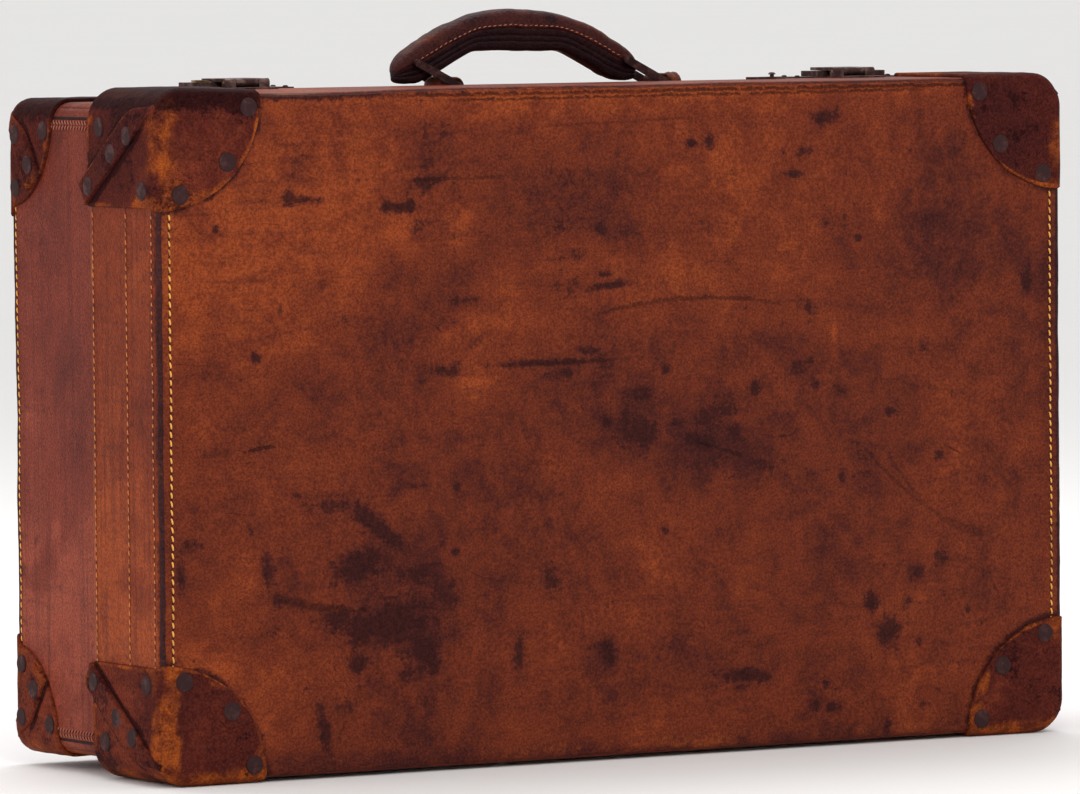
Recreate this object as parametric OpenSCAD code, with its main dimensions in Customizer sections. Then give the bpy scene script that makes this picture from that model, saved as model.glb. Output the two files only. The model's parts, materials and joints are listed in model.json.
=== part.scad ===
// Old leather suitcase standing on its hinged long side.
// A deep base and a shallower lid, whose rim stands proud of the base all round, are built of fibre
// board, covered in cowhide, welted at the edges and lined with cloth. The lid faces -Y, the carrying
// handle and the two locks are on top (+Z), and the hinges are underneath.
// The origin is under the middle of the case, on the surface that it stands on. Units are millimetres.

/* [Case] */
// Length of the lid over its leather
case_l = 676; // [600:2:740]
// Height of the lid over its leather
case_h = 430; // [380:2:480]
// Depth of the lid
lid_d = 88; // [80:1:110]
// Depth of the base that shows behind the lid
base_d = 118; // [100:1:150]
// How far the lid stands proud of the base
step = 7.5; // [7.5:0.5:9]
// Outside radius of the lid's corners
corner_r = 20; // [18:1:28]

/* [Walls] */
// Thickness of the cowhide
leather_t = 2.2; // [1.8:0.1:2.4]
// Thickness of the fibre board
board_t = 3; // [2.6:0.1:3.2]
// Thickness of the cloth lining
lining_t = 0.8; // [0.5:0.1:0.9]
// How far the base's lip reaches into the lid
lip_l = 14; // [10:1:16]

/* [Corner caps] */
// Thickness of a cap's leather
cap_t = 2.5; // [2:0.5:3]
// Radius of the round lobe on the big faces
lobe_r = 74; // [66:1:80]
// Reach of a lid cap's flap along the ends and the top
flap_l = 72; // [66:1:76]
// Radius of a base cap's flap
base_flap_r = 67; // [60:1:72]
// Depth of a base cap's flap
base_flap_d = 56; // [44:1:60]
// Width of the folded pleat on the ends
pleat_w = 17; // [14:1:20]
// Radius of a rivet's head
rivet_r = 6; // [5:0.5:6.5]

/* [Handle] */
// Distance between the handle's two chapes
chape_gap = 157; // [150:1:166]
// Distance from the middle of the case to the middle between the chapes
handle_x = 11; // [-12:1:20]
// Length of a handle ring between its bars
ring_l = 34; // [30:1:36]
// Angle of the rings above the top, at rest
ring_rest = 27; // [24:1:40]
// Height of the grip's arch above its end bars
grip_h = 33.7; // [30:0.1:38]
// Width of the grip
grip_w = 20; // [18:1:20]

/* [Locks] */
// Distance from the middle of the case to a lock
lock_x = 229; // [205:1:240]
// Travel of a lock's slide button
button_travel = 5; // [3:0.5:5]

/* [Hidden] */
$fn = 48;

// Planes of the case
front_y = -(lid_d + base_d) / 2;
back_y = -front_y;
seam_y = front_y + lid_d;
mid_z = cap_t + case_h / 2;
lid_top = cap_t + case_h;
base_top = lid_top - step;
lid_floor = cap_t;
base_floor = cap_t + step;
skin = leather_t + board_t;
under_lid = 3;
welt_proud = 0.8;
flat_half_l = case_l / 2 - corner_r;
flat_half_h = case_h / 2 - corner_r;
// How far a cutting shape reaches past what it cuts
past = 1;

// Corner caps: rivets on the lobe by radius and angle, and on the flap by [distance in from the big
// face, distance in from the top or bottom]
lobe_rivet_r = lobe_r - 9;
lobe_rivet_angles = [8, 42, 77];
lid_flap_rivets = [[16, 61], [71, 22]];
lid_pleat_rivets = [[32, 27], [53, 38], [83, 59]];
base_flap_rivets = [[8.5, 55], [46, 18]];
base_pleat_rivets = [[11, 21], [28, 40]];
rivet_h = 1.5;
pleat_t = 1.5;
lid_pleat_lean = 35;
base_pleat_lean = 56;
lid_pleat_past = 6;
base_pleat_h = 50;

// Handle
handle_y = -2;
bar_r = 2;
bar_fit = 0.1;
open_fit = 0.4;
ring_half_w = 11;
bar_half_l = 12;
ring_side_t = 2;
ring_side_w = 5.2;
loop_r = 6.5;
loop_w = 16;
chape_l = 72;
chape_w = 18;
chape_t = 3;
chape_rivet_r = 3;
chape_rivet_h = 1.4;
chape_rivet_at = [30, 58];
grip_half_l = 90;
grip_low_half_l = 82;
grip_taper = 0.03;
grip_flat = 28;
grip_curve_end = 80;
grip_drop = 20;
grip_under = 6.4;
grip_arch = 2.2;
grip_tip = 2;
// The grip is built of three slabs: shares of its width, and of its thickness in the side view
grip_slabs = [[0.6, 1], [0.85, 0.86], [1, 0.62]];
grip_bar_clear = 0.6;
core_arch = 2.6;
core_t = 2.5;
core_w = 12;
eye_r = 5;
pivot_z = base_top + loop_r;
end_z = pivot_z + ring_l * sin(ring_rest);
grip_x = handle_x - ring_l * cos(ring_rest);

// Locks: heights are above the lid's top
lock_y = -2;
plate_l = 79;
plate_w = 24;
plate_z = -1;
plate_t = 1.8;
packing_in = [3, 1];
plate_rivet_in = 4;
plate_rivet_r = 1.8;
plate_rivet_h = 1;
case_from = -21;
case_to = 32;
case_w = 20;
case_top = 4.4;
case_floor_t = 0.8;
recess_half = 6.5;
recess_past = 6;
hasp_from = -15;
hasp_to = 16.5;
hasp_t = 2;
hasp_gap = 0.3;
hasp_end_y = 6;
nose_half = 5;
nose_d = 4;
nose_h = 2.5;
hasp_lap = 0.5;
hasp_root = 1.5;
hasp_axis_y = seam_y - 7;
hasp_axis_z = 4.2;
knuckle_r = 2.6;
knuckle_half = 8;
knuckle_clear = 0.4;
bracket_half = 16;
bracket_t = 1.2;
bracket_y = hasp_axis_y - 14;
bracket_gap = 1;
hasp_pin_r = 1;
button_l = 8;
button_w = 9;
button_t = 1.2;
button_from = 18;
button_gap = 0.2;
stem = 3;
stem_at = 2.4;
stem_deep = 2;
slot_from = 20;
slot_fit = 0.3;

// Hinges
hinge_at = [-200, 0, 200];
hinge_half = 30;
hinge_third = 10;
leaf_t = 1;
leaf_reach = 32;
base_leaf_reach = 26;
leaf_lap = 1;
leaf_side_gap = 0.2;
barrel_r = (step + leaf_t) / 2;
barrel_gap = 0.4;
hinge_y = seam_y + barrel_r + barrel_gap;
hinge_z = lid_floor - leaf_t + barrel_r;
hinge_pin_r = 1.6;
hinge_fit = 0.06;

// Colours
hide = [0.49, 0.23, 0.12];
end_hide = [0.45, 0.24, 0.2];
cap_hide = [0.32, 0.15, 0.13];
dark_hide = [0.22, 0.11, 0.1];
fibre = [0.55, 0.47, 0.36];
cloth = [0.62, 0.53, 0.38];
old_brass = [0.35, 0.26, 0.18];
old_steel = [0.2, 0.17, 0.16];

// ---------- shared shapes ----------

// Extrudes a drawing of the X-Z plane from y0 to y1
module wall(y0, y1) {
    translate([0, y1, 0])
        rotate([90, 0, 0])
            linear_extrude(y1 - y0)
                children();
}

// Outline of the case in the X-Z plane, drawn in by inset all round
module outline(inset) {
    r = corner_r - inset;
    translate([0, mid_z]) {
        square([case_l - 2 * inset, 2 * flat_half_h], center = true);
        square([2 * flat_half_l, case_h - 2 * inset], center = true);
        for (sx = [-1, 1], sz = [-1, 1])
            translate([sx * flat_half_l, sz * flat_half_h])
                circle(r);
    }
}

// Hoop between two insets
module hoop(outer, inner, y0, y1) {
    wall(y0, y1)
        difference() {
            outline(outer);
            outline(inner);
        }
}

// Quarter of the X-Z plane that belongs to one side, mitred at the corners
module side_zone(side) {
    a = case_l / 2 + past;
    b = case_h / 2 + past;
    deep = 60;
    translate([0, mid_z]) {
        if (side == "top") polygon([[-a, b], [a, b], [a - deep, b - deep], [deep - a, b - deep]]);
        if (side == "bottom") polygon([[-a, -b], [deep - a, deep - b], [a - deep, deep - b], [a, -b]]);
        if (side == "left") polygon([[-a, -b], [-a, b], [deep - a, b - deep], [deep - a, deep - b]]);
        if (side == "right") polygon([[a, -b], [a - deep, deep - b], [a - deep, b - deep], [a, b]]);
    }
}

// One side's strip of cowhide
module side_leather(side, inset, y0, y1) {
    wall(y0, y1)
        intersection() {
            difference() {
                outline(inset);
                outline(inset + leather_t);
            }
            side_zone(side);
        }
}

// One side's flat board, between the round corners
module side_board(side, inset, y0, y1) {
    long_way = side == "top" || side == "bottom";
    way = side == "top" || side == "right" ? 1 : -1;
    half = (long_way ? case_h : case_l) / 2 - inset - board_t / 2;
    wall(y0, y1)
        translate([long_way ? 0 : way * half, mid_z + (long_way ? way * half : 0)])
            square(long_way ? [2 * flat_half_l, board_t] : [board_t, 2 * flat_half_h], center = true);
}

// The four bent boards of the round corners
module corner_boards(inset, y0, y1) {
    r = corner_r - inset;
    for (sx = [-1, 1], sz = [-1, 1])
        translate([sx * flat_half_l, y1, mid_z + sz * flat_half_h])
            rotate([90, 0, 0])
                intersection() {
                    difference() {
                        cylinder(h = y1 - y0, r = r);
                        translate([0, 0, -past]) cylinder(h = y1 - y0 + 2 * past, r = r - board_t);
                    }
                    translate([sx > 0 ? 0 : -r, sz > 0 ? 0 : -r, -past]) cube([r, r, y1 - y0 + 2 * past]);
                }
}

// Low domed head on the plane z = 0: a straight rim, and a crown that narrows
module rivet(r, h) {
    rim_h = 0.4 * h;
    crown_r = 0.6 * r;
    cylinder(h = rim_h, r = r);
    translate([0, 0, rim_h]) cylinder(h = h - rim_h, r1 = r, r2 = crown_r);
}

// ---------- corner caps ----------

// Bead of cowhide along the edge of a big face, at y towards the side that way points to
module welt(inset, face_y, way) {
    outer = face_y + way * welt_proud;
    inner = face_y - way * leather_t;
    hoop(inset - welt_proud, inset + leather_t, min(outer, inner), max(outer, inner));
}

// Diagonal pleat on the right end, from the big face's corner. It runs over the end's flat stretch,
// depth deep and height high.
module pleat(sz, inset, face_y, way, lean, depth, height) {
    length = 2 * height + depth;
    end_x = case_l / 2 - inset + cap_t;
    corner_z = mid_z + sz * (case_h / 2 - inset);
    flat_z = mid_z + sz * flat_half_h;
    far_z = corner_z - sz * height;
    intersection() {
        translate([end_x, face_y, corner_z])
            rotate([sz * way * lean, 0, 0])
                translate([0, way > 0 ? -length : 0, -pleat_w / 2])
                    cube([pleat_t, length, pleat_w]);
        translate([end_x, way > 0 ? face_y - depth : face_y, min(flat_z, far_z)])
            cube([pleat_t, depth, abs(flat_z - far_z)]);
    }
}

// Moulded cap over a right-hand corner of a shell: a round lobe on the big face, at face_y towards the
// side that way points to, and a flap round the rim, which its children cut to shape.
module cap(sz, inset, face_y, way) {
    corner_x = case_l / 2 - inset;
    corner_z = mid_z + sz * (case_h / 2 - inset);
    out_y = face_y + way * cap_t;
    in_y = face_y - way * lid_d;
    difference() {
        union() {
            intersection() {
                wall(min(face_y, out_y), max(face_y, out_y)) outline(inset - cap_t);
                translate([corner_x, face_y - 2 * cap_t, corner_z])
                    rotate([-90, 0, 0])
                        cylinder(h = 4 * cap_t, r = lobe_r);
            }
            intersection() {
                hoop(inset - cap_t, inset, min(in_y, out_y), max(in_y, out_y));
                translate([corner_x, face_y, corner_z]) children();
            }
        }
        welt(inset, face_y, way);
    }
}

module mirror_if(left) {
    mirror([left ? 1 : 0, 0, 0]) children();
}

module lid_cap(sx, sz) {
    color(cap_hide)
        mirror_if(sx < 0) {
            cap(sz, 0, front_y, -1)
                translate([0, lid_d / 2, 0])
                    cube([2 * flap_l, 2 * lid_d, 2 * flap_l], center = true);
            pleat(sz, 0, front_y, -1, lid_pleat_lean, lid_d + lid_pleat_past, flap_l);
        }
}

module base_cap(sx, sz) {
    color(cap_hide)
        mirror_if(sx < 0) {
            cap(sz, step, back_y, 1)
                intersection() {
                    sphere(r = base_flap_r, $fn = 64);
                    cube([3 * base_flap_r, 2 * base_flap_d, 3 * base_flap_r], center = true);
                }
            pleat(sz, step, back_y, 1, base_pleat_lean, base_flap_d, base_pleat_h);
        }
}

// Rivets of one shell's four caps
module cap_rivets(inset, face_y, way, flap_rivets, pleat_rivets) {
    for (sx = [-1, 1], sz = [-1, 1]) {
        corner_x = sx * (case_l / 2 - inset);
        corner_z = mid_z + sz * (case_h / 2 - inset);
        for (a = lobe_rivet_angles)
            translate([
                corner_x - sx * lobe_rivet_r * cos(a),
                face_y + way * cap_t,
                corner_z - sz * lobe_rivet_r * sin(a)
            ])
                rotate([-90 * way, 0, 0])
                    rivet(rivet_r, rivet_h);
        for (p = flap_rivets)
            translate([corner_x + sx * cap_t, face_y - way * p[0], corner_z - sz * p[1]])
                rotate([0, 90 * sx, 0])
                    rivet(rivet_r, rivet_h);
        for (p = pleat_rivets)
            translate([corner_x + sx * (cap_t + pleat_t), face_y - way * p[0], corner_z - sz * p[1]])
                rotate([0, 90 * sx, 0])
                    rivet(rivet_r, rivet_h);
    }
}

// ---------- base ----------

base_inset = step + leather_t;
lip_y = seam_y - lip_l;
base_wall_end = back_y - skin;

module base_back_board() {
    color(fibre) wall(base_wall_end, back_y - leather_t) outline(base_inset);
}

module base_side_board(side) {
    color(fibre) side_board(side, base_inset, lip_y, base_wall_end);
}

module base_corner_boards() {
    color(fibre) corner_boards(base_inset, lip_y, base_wall_end);
}

module base_back_leather() {
    color(hide) wall(back_y - leather_t, back_y) outline(base_inset);
}

module base_side_leather(side) {
    tint = side == "left" || side == "right" ? end_hide : hide;
    color(tint) side_leather(side, step, seam_y - under_lid, back_y - leather_t);
}

module base_welt() {
    color(dark_hide) welt(step, back_y, 1);
}

module base_lining() {
    inset = base_inset + board_t;
    color(cloth) {
        hoop(inset, inset + lining_t, lip_y, base_wall_end);
        wall(base_wall_end - lining_t, base_wall_end) outline(inset + lining_t);
    }
}

strap_y = base_wall_end - lining_t;
strap_t = 1.6;
strap_w = 26;
strap_l = 350;
strap_at = 150;
buckle_t = 2.4;
buckle_l = 40;
buckle_w = 34;
buckle_bar = 4;

module packing_straps() {
    color(dark_hide)
        for (sx = [-1, 1])
            translate([sx * strap_at - strap_w / 2, strap_y - strap_t, mid_z - strap_l / 2])
                cube([strap_w, strap_t, strap_l]);
}

module strap_buckles() {
    color(old_brass)
        for (sx = [-1, 1])
            translate([sx * strap_at, strap_y - strap_t, mid_z])
                rotate([90, 0, 0])
                    linear_extrude(buckle_t) {
                        difference() {
                            square([buckle_w, buckle_l], center = true);
                            square([buckle_w - 2 * buckle_bar, buckle_l - 2 * buckle_bar], center = true);
                        }
                        square([buckle_w - buckle_bar, buckle_bar], center = true);
                    }
}

// ---------- lid ----------

lid_wall_start = front_y + skin;

module lid_front_board() {
    color(fibre) wall(front_y + leather_t, lid_wall_start) outline(leather_t);
}

module lid_side_board(side) {
    color(fibre) side_board(side, leather_t, lid_wall_start, seam_y);
}

module lid_corner_boards() {
    color(fibre) corner_boards(leather_t, lid_wall_start, seam_y);
}

module lid_front_leather() {
    color(hide) wall(front_y, front_y + leather_t) outline(leather_t);
}

module lid_side_leather(side) {
    color(hide) side_leather(side, 0, front_y + leather_t, seam_y);
}

module lid_welt() {
    color(dark_hide) welt(0, front_y, -1);
}

module lid_lining() {
    color(cloth) {
        hoop(skin, skin + lining_t, lid_wall_start, seam_y);
        wall(lid_wall_start, lid_wall_start + lining_t) outline(skin + lining_t);
    }
}

// Small plate with a round stud, on the lid's top beside the right lock
module stud_plate() {
    plate = [26, 7, 1.5];
    plate_gap = 2;
    from_lock = 80;
    stud_at = 18;
    stem_h = 3;
    stem_r = 1.4;
    head_r = 2.4;
    head_h = 1.4;
    color(old_steel)
        translate([lock_x - from_lock, seam_y - plate_gap - plate[1], lid_top]) {
            cube(plate);
            translate([stud_at, plate[1] / 2, 0]) cylinder(h = stem_h, r = stem_r);
            translate([stud_at, plate[1] / 2, stem_h]) rivet(head_r, head_h);
        }
}

// ---------- hinges ----------

// One run of barrel along X
module barrel(from, to) {
    translate([from, hinge_y, hinge_z])
        rotate([0, 90, 0])
            cylinder(h = to - from, r = barrel_r);
}

module barrel_bore(r) {
    translate([-hinge_half - past, hinge_y, hinge_z])
        rotate([0, 90, 0])
            cylinder(h = 2 * (hinge_half + past), r = r);
}

// Leaf on the lid's underside with the two outer knuckles
module lid_hinge_leaves() {
    outer_from = hinge_third + leaf_side_gap;
    color(old_brass)
        for (x = hinge_at)
            translate([x, 0, 0])
                difference() {
                    union() {
                        translate([-hinge_half, seam_y - leaf_reach, lid_floor - leaf_t])
                            cube([2 * hinge_half, leaf_reach, leaf_t]);
                        for (s = [-1, 1])
                            translate([s > 0 ? outer_from : -hinge_half, seam_y - leaf_lap, lid_floor - leaf_t])
                                cube([hinge_half - outer_from, hinge_y - seam_y + leaf_lap, leaf_t]);
                        barrel(-hinge_half, -outer_from);
                        barrel(outer_from, hinge_half);
                    }
                    barrel_bore(hinge_pin_r + hinge_fit);
                }
}

// Leaf on the base's underside with the middle knuckle
module base_hinge_leaves() {
    leaf_start = hinge_y + barrel_r + barrel_gap;
    color(old_brass)
        for (x = hinge_at)
            translate([x, 0, 0])
                difference() {
                    union() {
                        translate([-hinge_half, leaf_start, base_floor - leaf_t])
                            cube([2 * hinge_half, base_leaf_reach, leaf_t]);
                        translate([-hinge_third, hinge_y, base_floor - leaf_t])
                            cube([2 * hinge_third, barrel_r + barrel_gap + leaf_lap, leaf_t]);
                        barrel(-hinge_third, hinge_third);
                    }
                    barrel_bore(hinge_pin_r);
                }
}

module hinge_pins() {
    color(old_steel)
        for (x = hinge_at)
            translate([x - hinge_half, hinge_y, hinge_z])
                rotate([0, 90, 0])
                    cylinder(h = 2 * hinge_half, r = hinge_pin_r);
}

// ---------- handle ----------

// Flat strap with a round end that lies on the base's top, and the loop that holds a ring's bar
module chape(side) {
    color(dark_hide)
        translate([handle_x + side * chape_gap / 2, handle_y, 0])
            difference() {
                union() {
                    translate([side > 0 ? 0 : -chape_l + chape_w / 2, -chape_w / 2, base_top])
                        cube([chape_l - chape_w / 2, chape_w, chape_t]);
                    translate([side * (chape_l - chape_w / 2), 0, base_top])
                        cylinder(h = chape_t, r = chape_w / 2);
                    translate([0, loop_w / 2, pivot_z])
                        rotate([90, 0, 0])
                            cylinder(h = loop_w, r = loop_r);
                }
                translate([0, chape_w, pivot_z])
                    rotate([90, 0, 0])
                        cylinder(h = 2 * chape_w, r = bar_r + bar_fit);
            }
}

module chape_rivets() {
    color(old_steel)
        for (side = [-1, 1], along = chape_rivet_at)
            translate([handle_x + side * (chape_gap / 2 + along), handle_y, base_top + chape_t])
                rivet(chape_rivet_r, chape_rivet_h);
}

// Metal ring at its rest angle: one bar in the chape, one in the handle's end
module ring(side) {
    color(old_steel)
        translate([handle_x + side * chape_gap / 2, handle_y, pivot_z])
            rotate([0, ring_rest, 0]) {
                for (x = [0, -ring_l]) {
                    translate([x, bar_half_l, 0])
                        rotate([90, 0, 0])
                            cylinder(h = 2 * bar_half_l, r = bar_r);
                    for (s = [-1, 1])
                        translate([x, s * (ring_half_w + ring_side_t / 2) + ring_side_t / 2, 0])
                            rotate([90, 0, 0])
                                cylinder(h = ring_side_t, r = ring_side_w / 2);
                }
                for (s = [-1, 1])
                    translate([-ring_l / 2, s * (ring_half_w + ring_side_t / 2), 0])
                        cube([ring_l, ring_side_t, ring_side_w], center = true);
            }
}

// Height of the grip's upper and lower side at u along it, above the end bars
function grip_upper(u) = grip_h * (1 - pow(min(abs(u) / (grip_half_l + grip_tip), 1), grip_arch));
function ease(t) = t <= 0 ? 0 : t >= 1 ? 1 : t * t * (3 - 2 * t);
function grip_lower(u) = grip_under - grip_drop * ease((abs(u) - grip_flat) / (grip_curve_end - grip_flat));
function grip_mid(u) = (grip_upper(u) + grip_lower(u)) / 2;
function grip_half_t(u) = (grip_upper(u) - grip_lower(u)) / 2;

// The grip's side view, drawn thinner by share
module grip_side(share) {
    n = 18;
    drawn_in = 1 - grip_taper * (1 - share);
    reach = grip_half_l * drawn_in;
    low = grip_low_half_l * drawn_in;
    polygon(concat(
        [for (i = [-n:n]) let (u = reach * i / n) [u, grip_mid(u) + share * grip_half_t(u)]],
        [for (i = [-n:n]) let (u = -low * i / n) [u, grip_mid(u) - share * grip_half_t(u)]]
    ));
}

function core_line(u) = grip_mid(0) * (1 - pow(abs(u) / (chape_gap / 2), core_arch));

// Side view of the strip of steel down the middle of the grip
module core_side() {
    n = 16;
    reach = chape_gap / 2;
    polygon(concat(
        [for (i = [-n:n]) let (u = reach * i / n) [u, core_line(u) + core_t / 2]],
        [for (i = [-n:n]) let (u = -reach * i / n) [u, core_line(u) - core_t / 2]]
    ));
}

module at_grip() {
    translate([grip_x, handle_y, end_z]) children();
}

// Extrudes a side view by w, centred on the handle
module across(w) {
    translate([0, w / 2, 0])
        rotate([90, 0, 0])
            linear_extrude(w)
                children();
}

module end_bar_hole(side, r) {
    translate([side * chape_gap / 2, grip_w, 0])
        rotate([90, 0, 0])
            cylinder(h = 2 * grip_w, r = r);
}

// The eyes and the strip together, as one solid
module core_solid() {
    across(core_w) core_side();
    for (side = [-1, 1])
        translate([side * chape_gap / 2, core_w / 2, 0])
            rotate([90, 0, 0])
                cylinder(h = core_w, r = eye_r);
}

module handle_core() {
    color(old_steel)
        at_grip()
            difference() {
                core_solid();
                end_bar_hole(-1, bar_r + bar_fit);
                end_bar_hole(1, bar_r + open_fit);
            }
}

module handle_grip() {
    color(dark_hide)
        at_grip()
            difference() {
                for (slab = grip_slabs)
                    across(grip_w * slab[0]) grip_side(slab[1]);
                core_solid();
                for (side = [-1, 1]) end_bar_hole(side, bar_r + grip_bar_clear);
            }
}

// ---------- locks ----------

// Puts a lock's drawing at the right lock, or mirrored at the left one
module at_lock(side) {
    mirror([side < 0 ? 1 : 0, 0, 0])
        translate([lock_x, 0, lid_top])
            children();
}

module lock_packings() {
    color(dark_hide)
        for (side = [-1, 1])
            at_lock(side)
                translate([packing_in[0] - plate_l / 2, lock_y + packing_in[1] - plate_w / 2, -step])
                    cube([plate_l - 2 * packing_in[0], plate_w - 2 * packing_in[1], step + plate_z]);
}

module lock_plates() {
    color(old_steel)
        for (side = [-1, 1])
            at_lock(side)
                translate([-plate_l / 2, lock_y - plate_w / 2, plate_z])
                    cube([plate_l, plate_w, plate_t]);
}

module lock_rivets() {
    color(old_brass)
        for (side = [-1, 1], x = [-1, 1], y = [-1, 1])
            at_lock(side)
                translate([
                    x * (plate_l / 2 - plate_rivet_in),
                    lock_y + y * (plate_w / 2 - plate_rivet_in),
                    plate_z + plate_t
                ])
                    rivet(plate_rivet_r, plate_rivet_h);
}

// Housing with an open recess for the hasp's nose and a slot for the button's stem
module lock_case(side) {
    floor_z = plate_z + plate_t;
    color(old_steel)
        at_lock(side)
            difference() {
                translate([case_from, lock_y - case_w / 2, floor_z])
                    cube([case_to - case_from, case_w, case_top - floor_z]);
                translate([-recess_half, lock_y - case_w / 2 - past, floor_z + case_floor_t])
                    cube([2 * recess_half, case_w / 2 + recess_past, case_top]);
                translate([slot_from, lock_y - stem / 2 - slot_fit, floor_z + case_floor_t])
                    cube([stem + button_travel + 1, stem + 2 * slot_fit, case_top]);
            }
}

module lock_button(side) {
    color(old_brass)
        at_lock(side) {
            translate([button_from, lock_y - button_w / 2, case_top + button_gap])
                cube([button_l, button_w, button_t]);
            translate([button_from + stem_at, lock_y - stem / 2, case_top - stem_deep])
                cube([stem, stem, stem_deep + 2 * button_gap]);
        }
}

// Short run of the hasp's knuckles along X
module knuckle(from, to) {
    translate([from, hasp_axis_y, hasp_axis_z])
        rotate([0, 90, 0])
            cylinder(h = to - from, r = knuckle_r);
}

module hasp_bore(r) {
    translate([-bracket_half - past, hasp_axis_y, hasp_axis_z])
        rotate([0, 90, 0])
            cylinder(h = 2 * (bracket_half + past), r = r);
}

// Plate on the lid's top with two knuckles
module hasp_brackets() {
    ear_from = knuckle_half + knuckle_clear;
    color(old_steel)
        for (side = [-1, 1])
            at_lock(side)
                difference() {
                    union() {
                        translate([-bracket_half, bracket_y, 0])
                            cube([2 * bracket_half, seam_y - bracket_gap - bracket_y, bracket_t]);
                        for (s = [-1, 1])
                            translate([s > 0 ? ear_from : -bracket_half, hasp_axis_y - knuckle_r, 0])
                                cube([bracket_half - ear_from, 2 * knuckle_r, hasp_axis_z]);
                        knuckle(-bracket_half, -ear_from);
                        knuckle(ear_from, bracket_half);
                    }
                    hasp_bore(hasp_pin_r);
                }
}

module hasp_pins() {
    color(old_brass)
        for (side = [-1, 1])
            at_lock(side)
                translate([-bracket_half, hasp_axis_y, hasp_axis_z])
                    rotate([0, 90, 0])
                        cylinder(h = 2 * bracket_half, r = hasp_pin_r);
}

// Plate that folds down over the lock, with the nose that drops into its recess
module hasp(side) {
    plate_y = hasp_axis_y + knuckle_r + hasp_lap;
    low = case_top + hasp_gap;
    color(old_steel)
        at_lock(side)
            difference() {
                union() {
                    translate([hasp_from, plate_y, low])
                        cube([hasp_to - hasp_from, hasp_end_y - plate_y, hasp_t]);
                    translate([-knuckle_half, hasp_axis_y, low])
                        cube([2 * knuckle_half, knuckle_r + hasp_root, hasp_t]);
                    translate([-nose_half, lock_y - nose_d / 2, low - nose_h])
                        cube([2 * nose_half, nose_d, nose_h + hasp_lap]);
                    knuckle(-knuckle_half, knuckle_half);
                }
                hasp_bore(hasp_pin_r + hinge_fit);
            }
}

// ---------- drawing ----------

base_back_board();
base_side_board("top");  // base_top_board
base_side_board("bottom");  // base_bottom_board
base_side_board("left");  // base_left_board
base_side_board("right");  // base_right_board
base_corner_boards();
base_back_leather();
base_side_leather("top");  // base_top_leather
base_side_leather("bottom");  // base_bottom_leather
base_side_leather("left");  // base_left_leather
base_side_leather("right");  // base_right_leather
base_welt();
base_lining();
base_cap(-1, 1);  // base_cap_top_left
base_cap(1, 1);  // base_cap_top_right
base_cap(-1, -1);  // base_cap_bottom_left
base_cap(1, -1);  // base_cap_bottom_right
color(old_brass) cap_rivets(step, back_y, 1, base_flap_rivets, base_pleat_rivets);  // base_cap_rivets
packing_straps();
strap_buckles();
lid_front_board();
lid_side_board("top");  // lid_top_board
lid_side_board("bottom");  // lid_bottom_board
lid_side_board("left");  // lid_left_board
lid_side_board("right");  // lid_right_board
lid_corner_boards();
lid_front_leather();
lid_side_leather("top");  // lid_top_leather
lid_side_leather("bottom");  // lid_bottom_leather
lid_side_leather("left");  // lid_left_leather
lid_side_leather("right");  // lid_right_leather
lid_welt();
lid_lining();
lid_cap(-1, 1);  // lid_cap_top_left
lid_cap(1, 1);  // lid_cap_top_right
lid_cap(-1, -1);  // lid_cap_bottom_left
lid_cap(1, -1);  // lid_cap_bottom_right
color(old_brass) cap_rivets(0, front_y, -1, lid_flap_rivets, lid_pleat_rivets);  // lid_cap_rivets
stud_plate();
base_hinge_leaves();
lid_hinge_leaves();
hinge_pins();
chape(-1);  // handle_chape_left
chape(1);  // handle_chape_right
chape_rivets();
ring(-1);  // handle_ring_left
ring(1);  // handle_ring_right
handle_core();
handle_grip();
lock_packings();
lock_plates();
lock_rivets();
lock_case(-1);  // lock_case_left
lock_case(1);  // lock_case_right
lock_button(-1);  // lock_button_left
lock_button(1);  // lock_button_right
hasp_brackets();
hasp_pins();
hasp(-1);  // hasp_left
hasp(1);  // hasp_right
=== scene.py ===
"""Looks of the old leather suitcase, built round its CAD frame. Units are metres."""

import json
import math

import bmesh
import bpy
from mathutils import Matrix, Vector, noise


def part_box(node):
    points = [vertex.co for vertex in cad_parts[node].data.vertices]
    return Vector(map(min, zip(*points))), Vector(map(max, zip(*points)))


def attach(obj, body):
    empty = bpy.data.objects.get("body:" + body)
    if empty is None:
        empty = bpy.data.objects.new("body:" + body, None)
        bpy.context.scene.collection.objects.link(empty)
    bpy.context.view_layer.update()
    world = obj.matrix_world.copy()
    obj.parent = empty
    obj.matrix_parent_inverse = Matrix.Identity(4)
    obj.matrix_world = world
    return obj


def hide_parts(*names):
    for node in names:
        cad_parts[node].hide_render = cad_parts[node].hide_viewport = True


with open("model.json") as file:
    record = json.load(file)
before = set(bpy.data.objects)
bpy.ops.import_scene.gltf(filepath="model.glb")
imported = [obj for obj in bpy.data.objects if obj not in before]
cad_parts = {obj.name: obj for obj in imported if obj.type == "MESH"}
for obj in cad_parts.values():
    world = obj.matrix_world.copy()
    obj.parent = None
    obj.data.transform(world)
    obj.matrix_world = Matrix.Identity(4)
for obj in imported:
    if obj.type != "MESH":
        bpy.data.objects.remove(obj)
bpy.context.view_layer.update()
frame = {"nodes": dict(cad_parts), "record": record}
MM = 0.001
noise.seed_set(5)


# ---------- places and sizes, from the frame ----------

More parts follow.
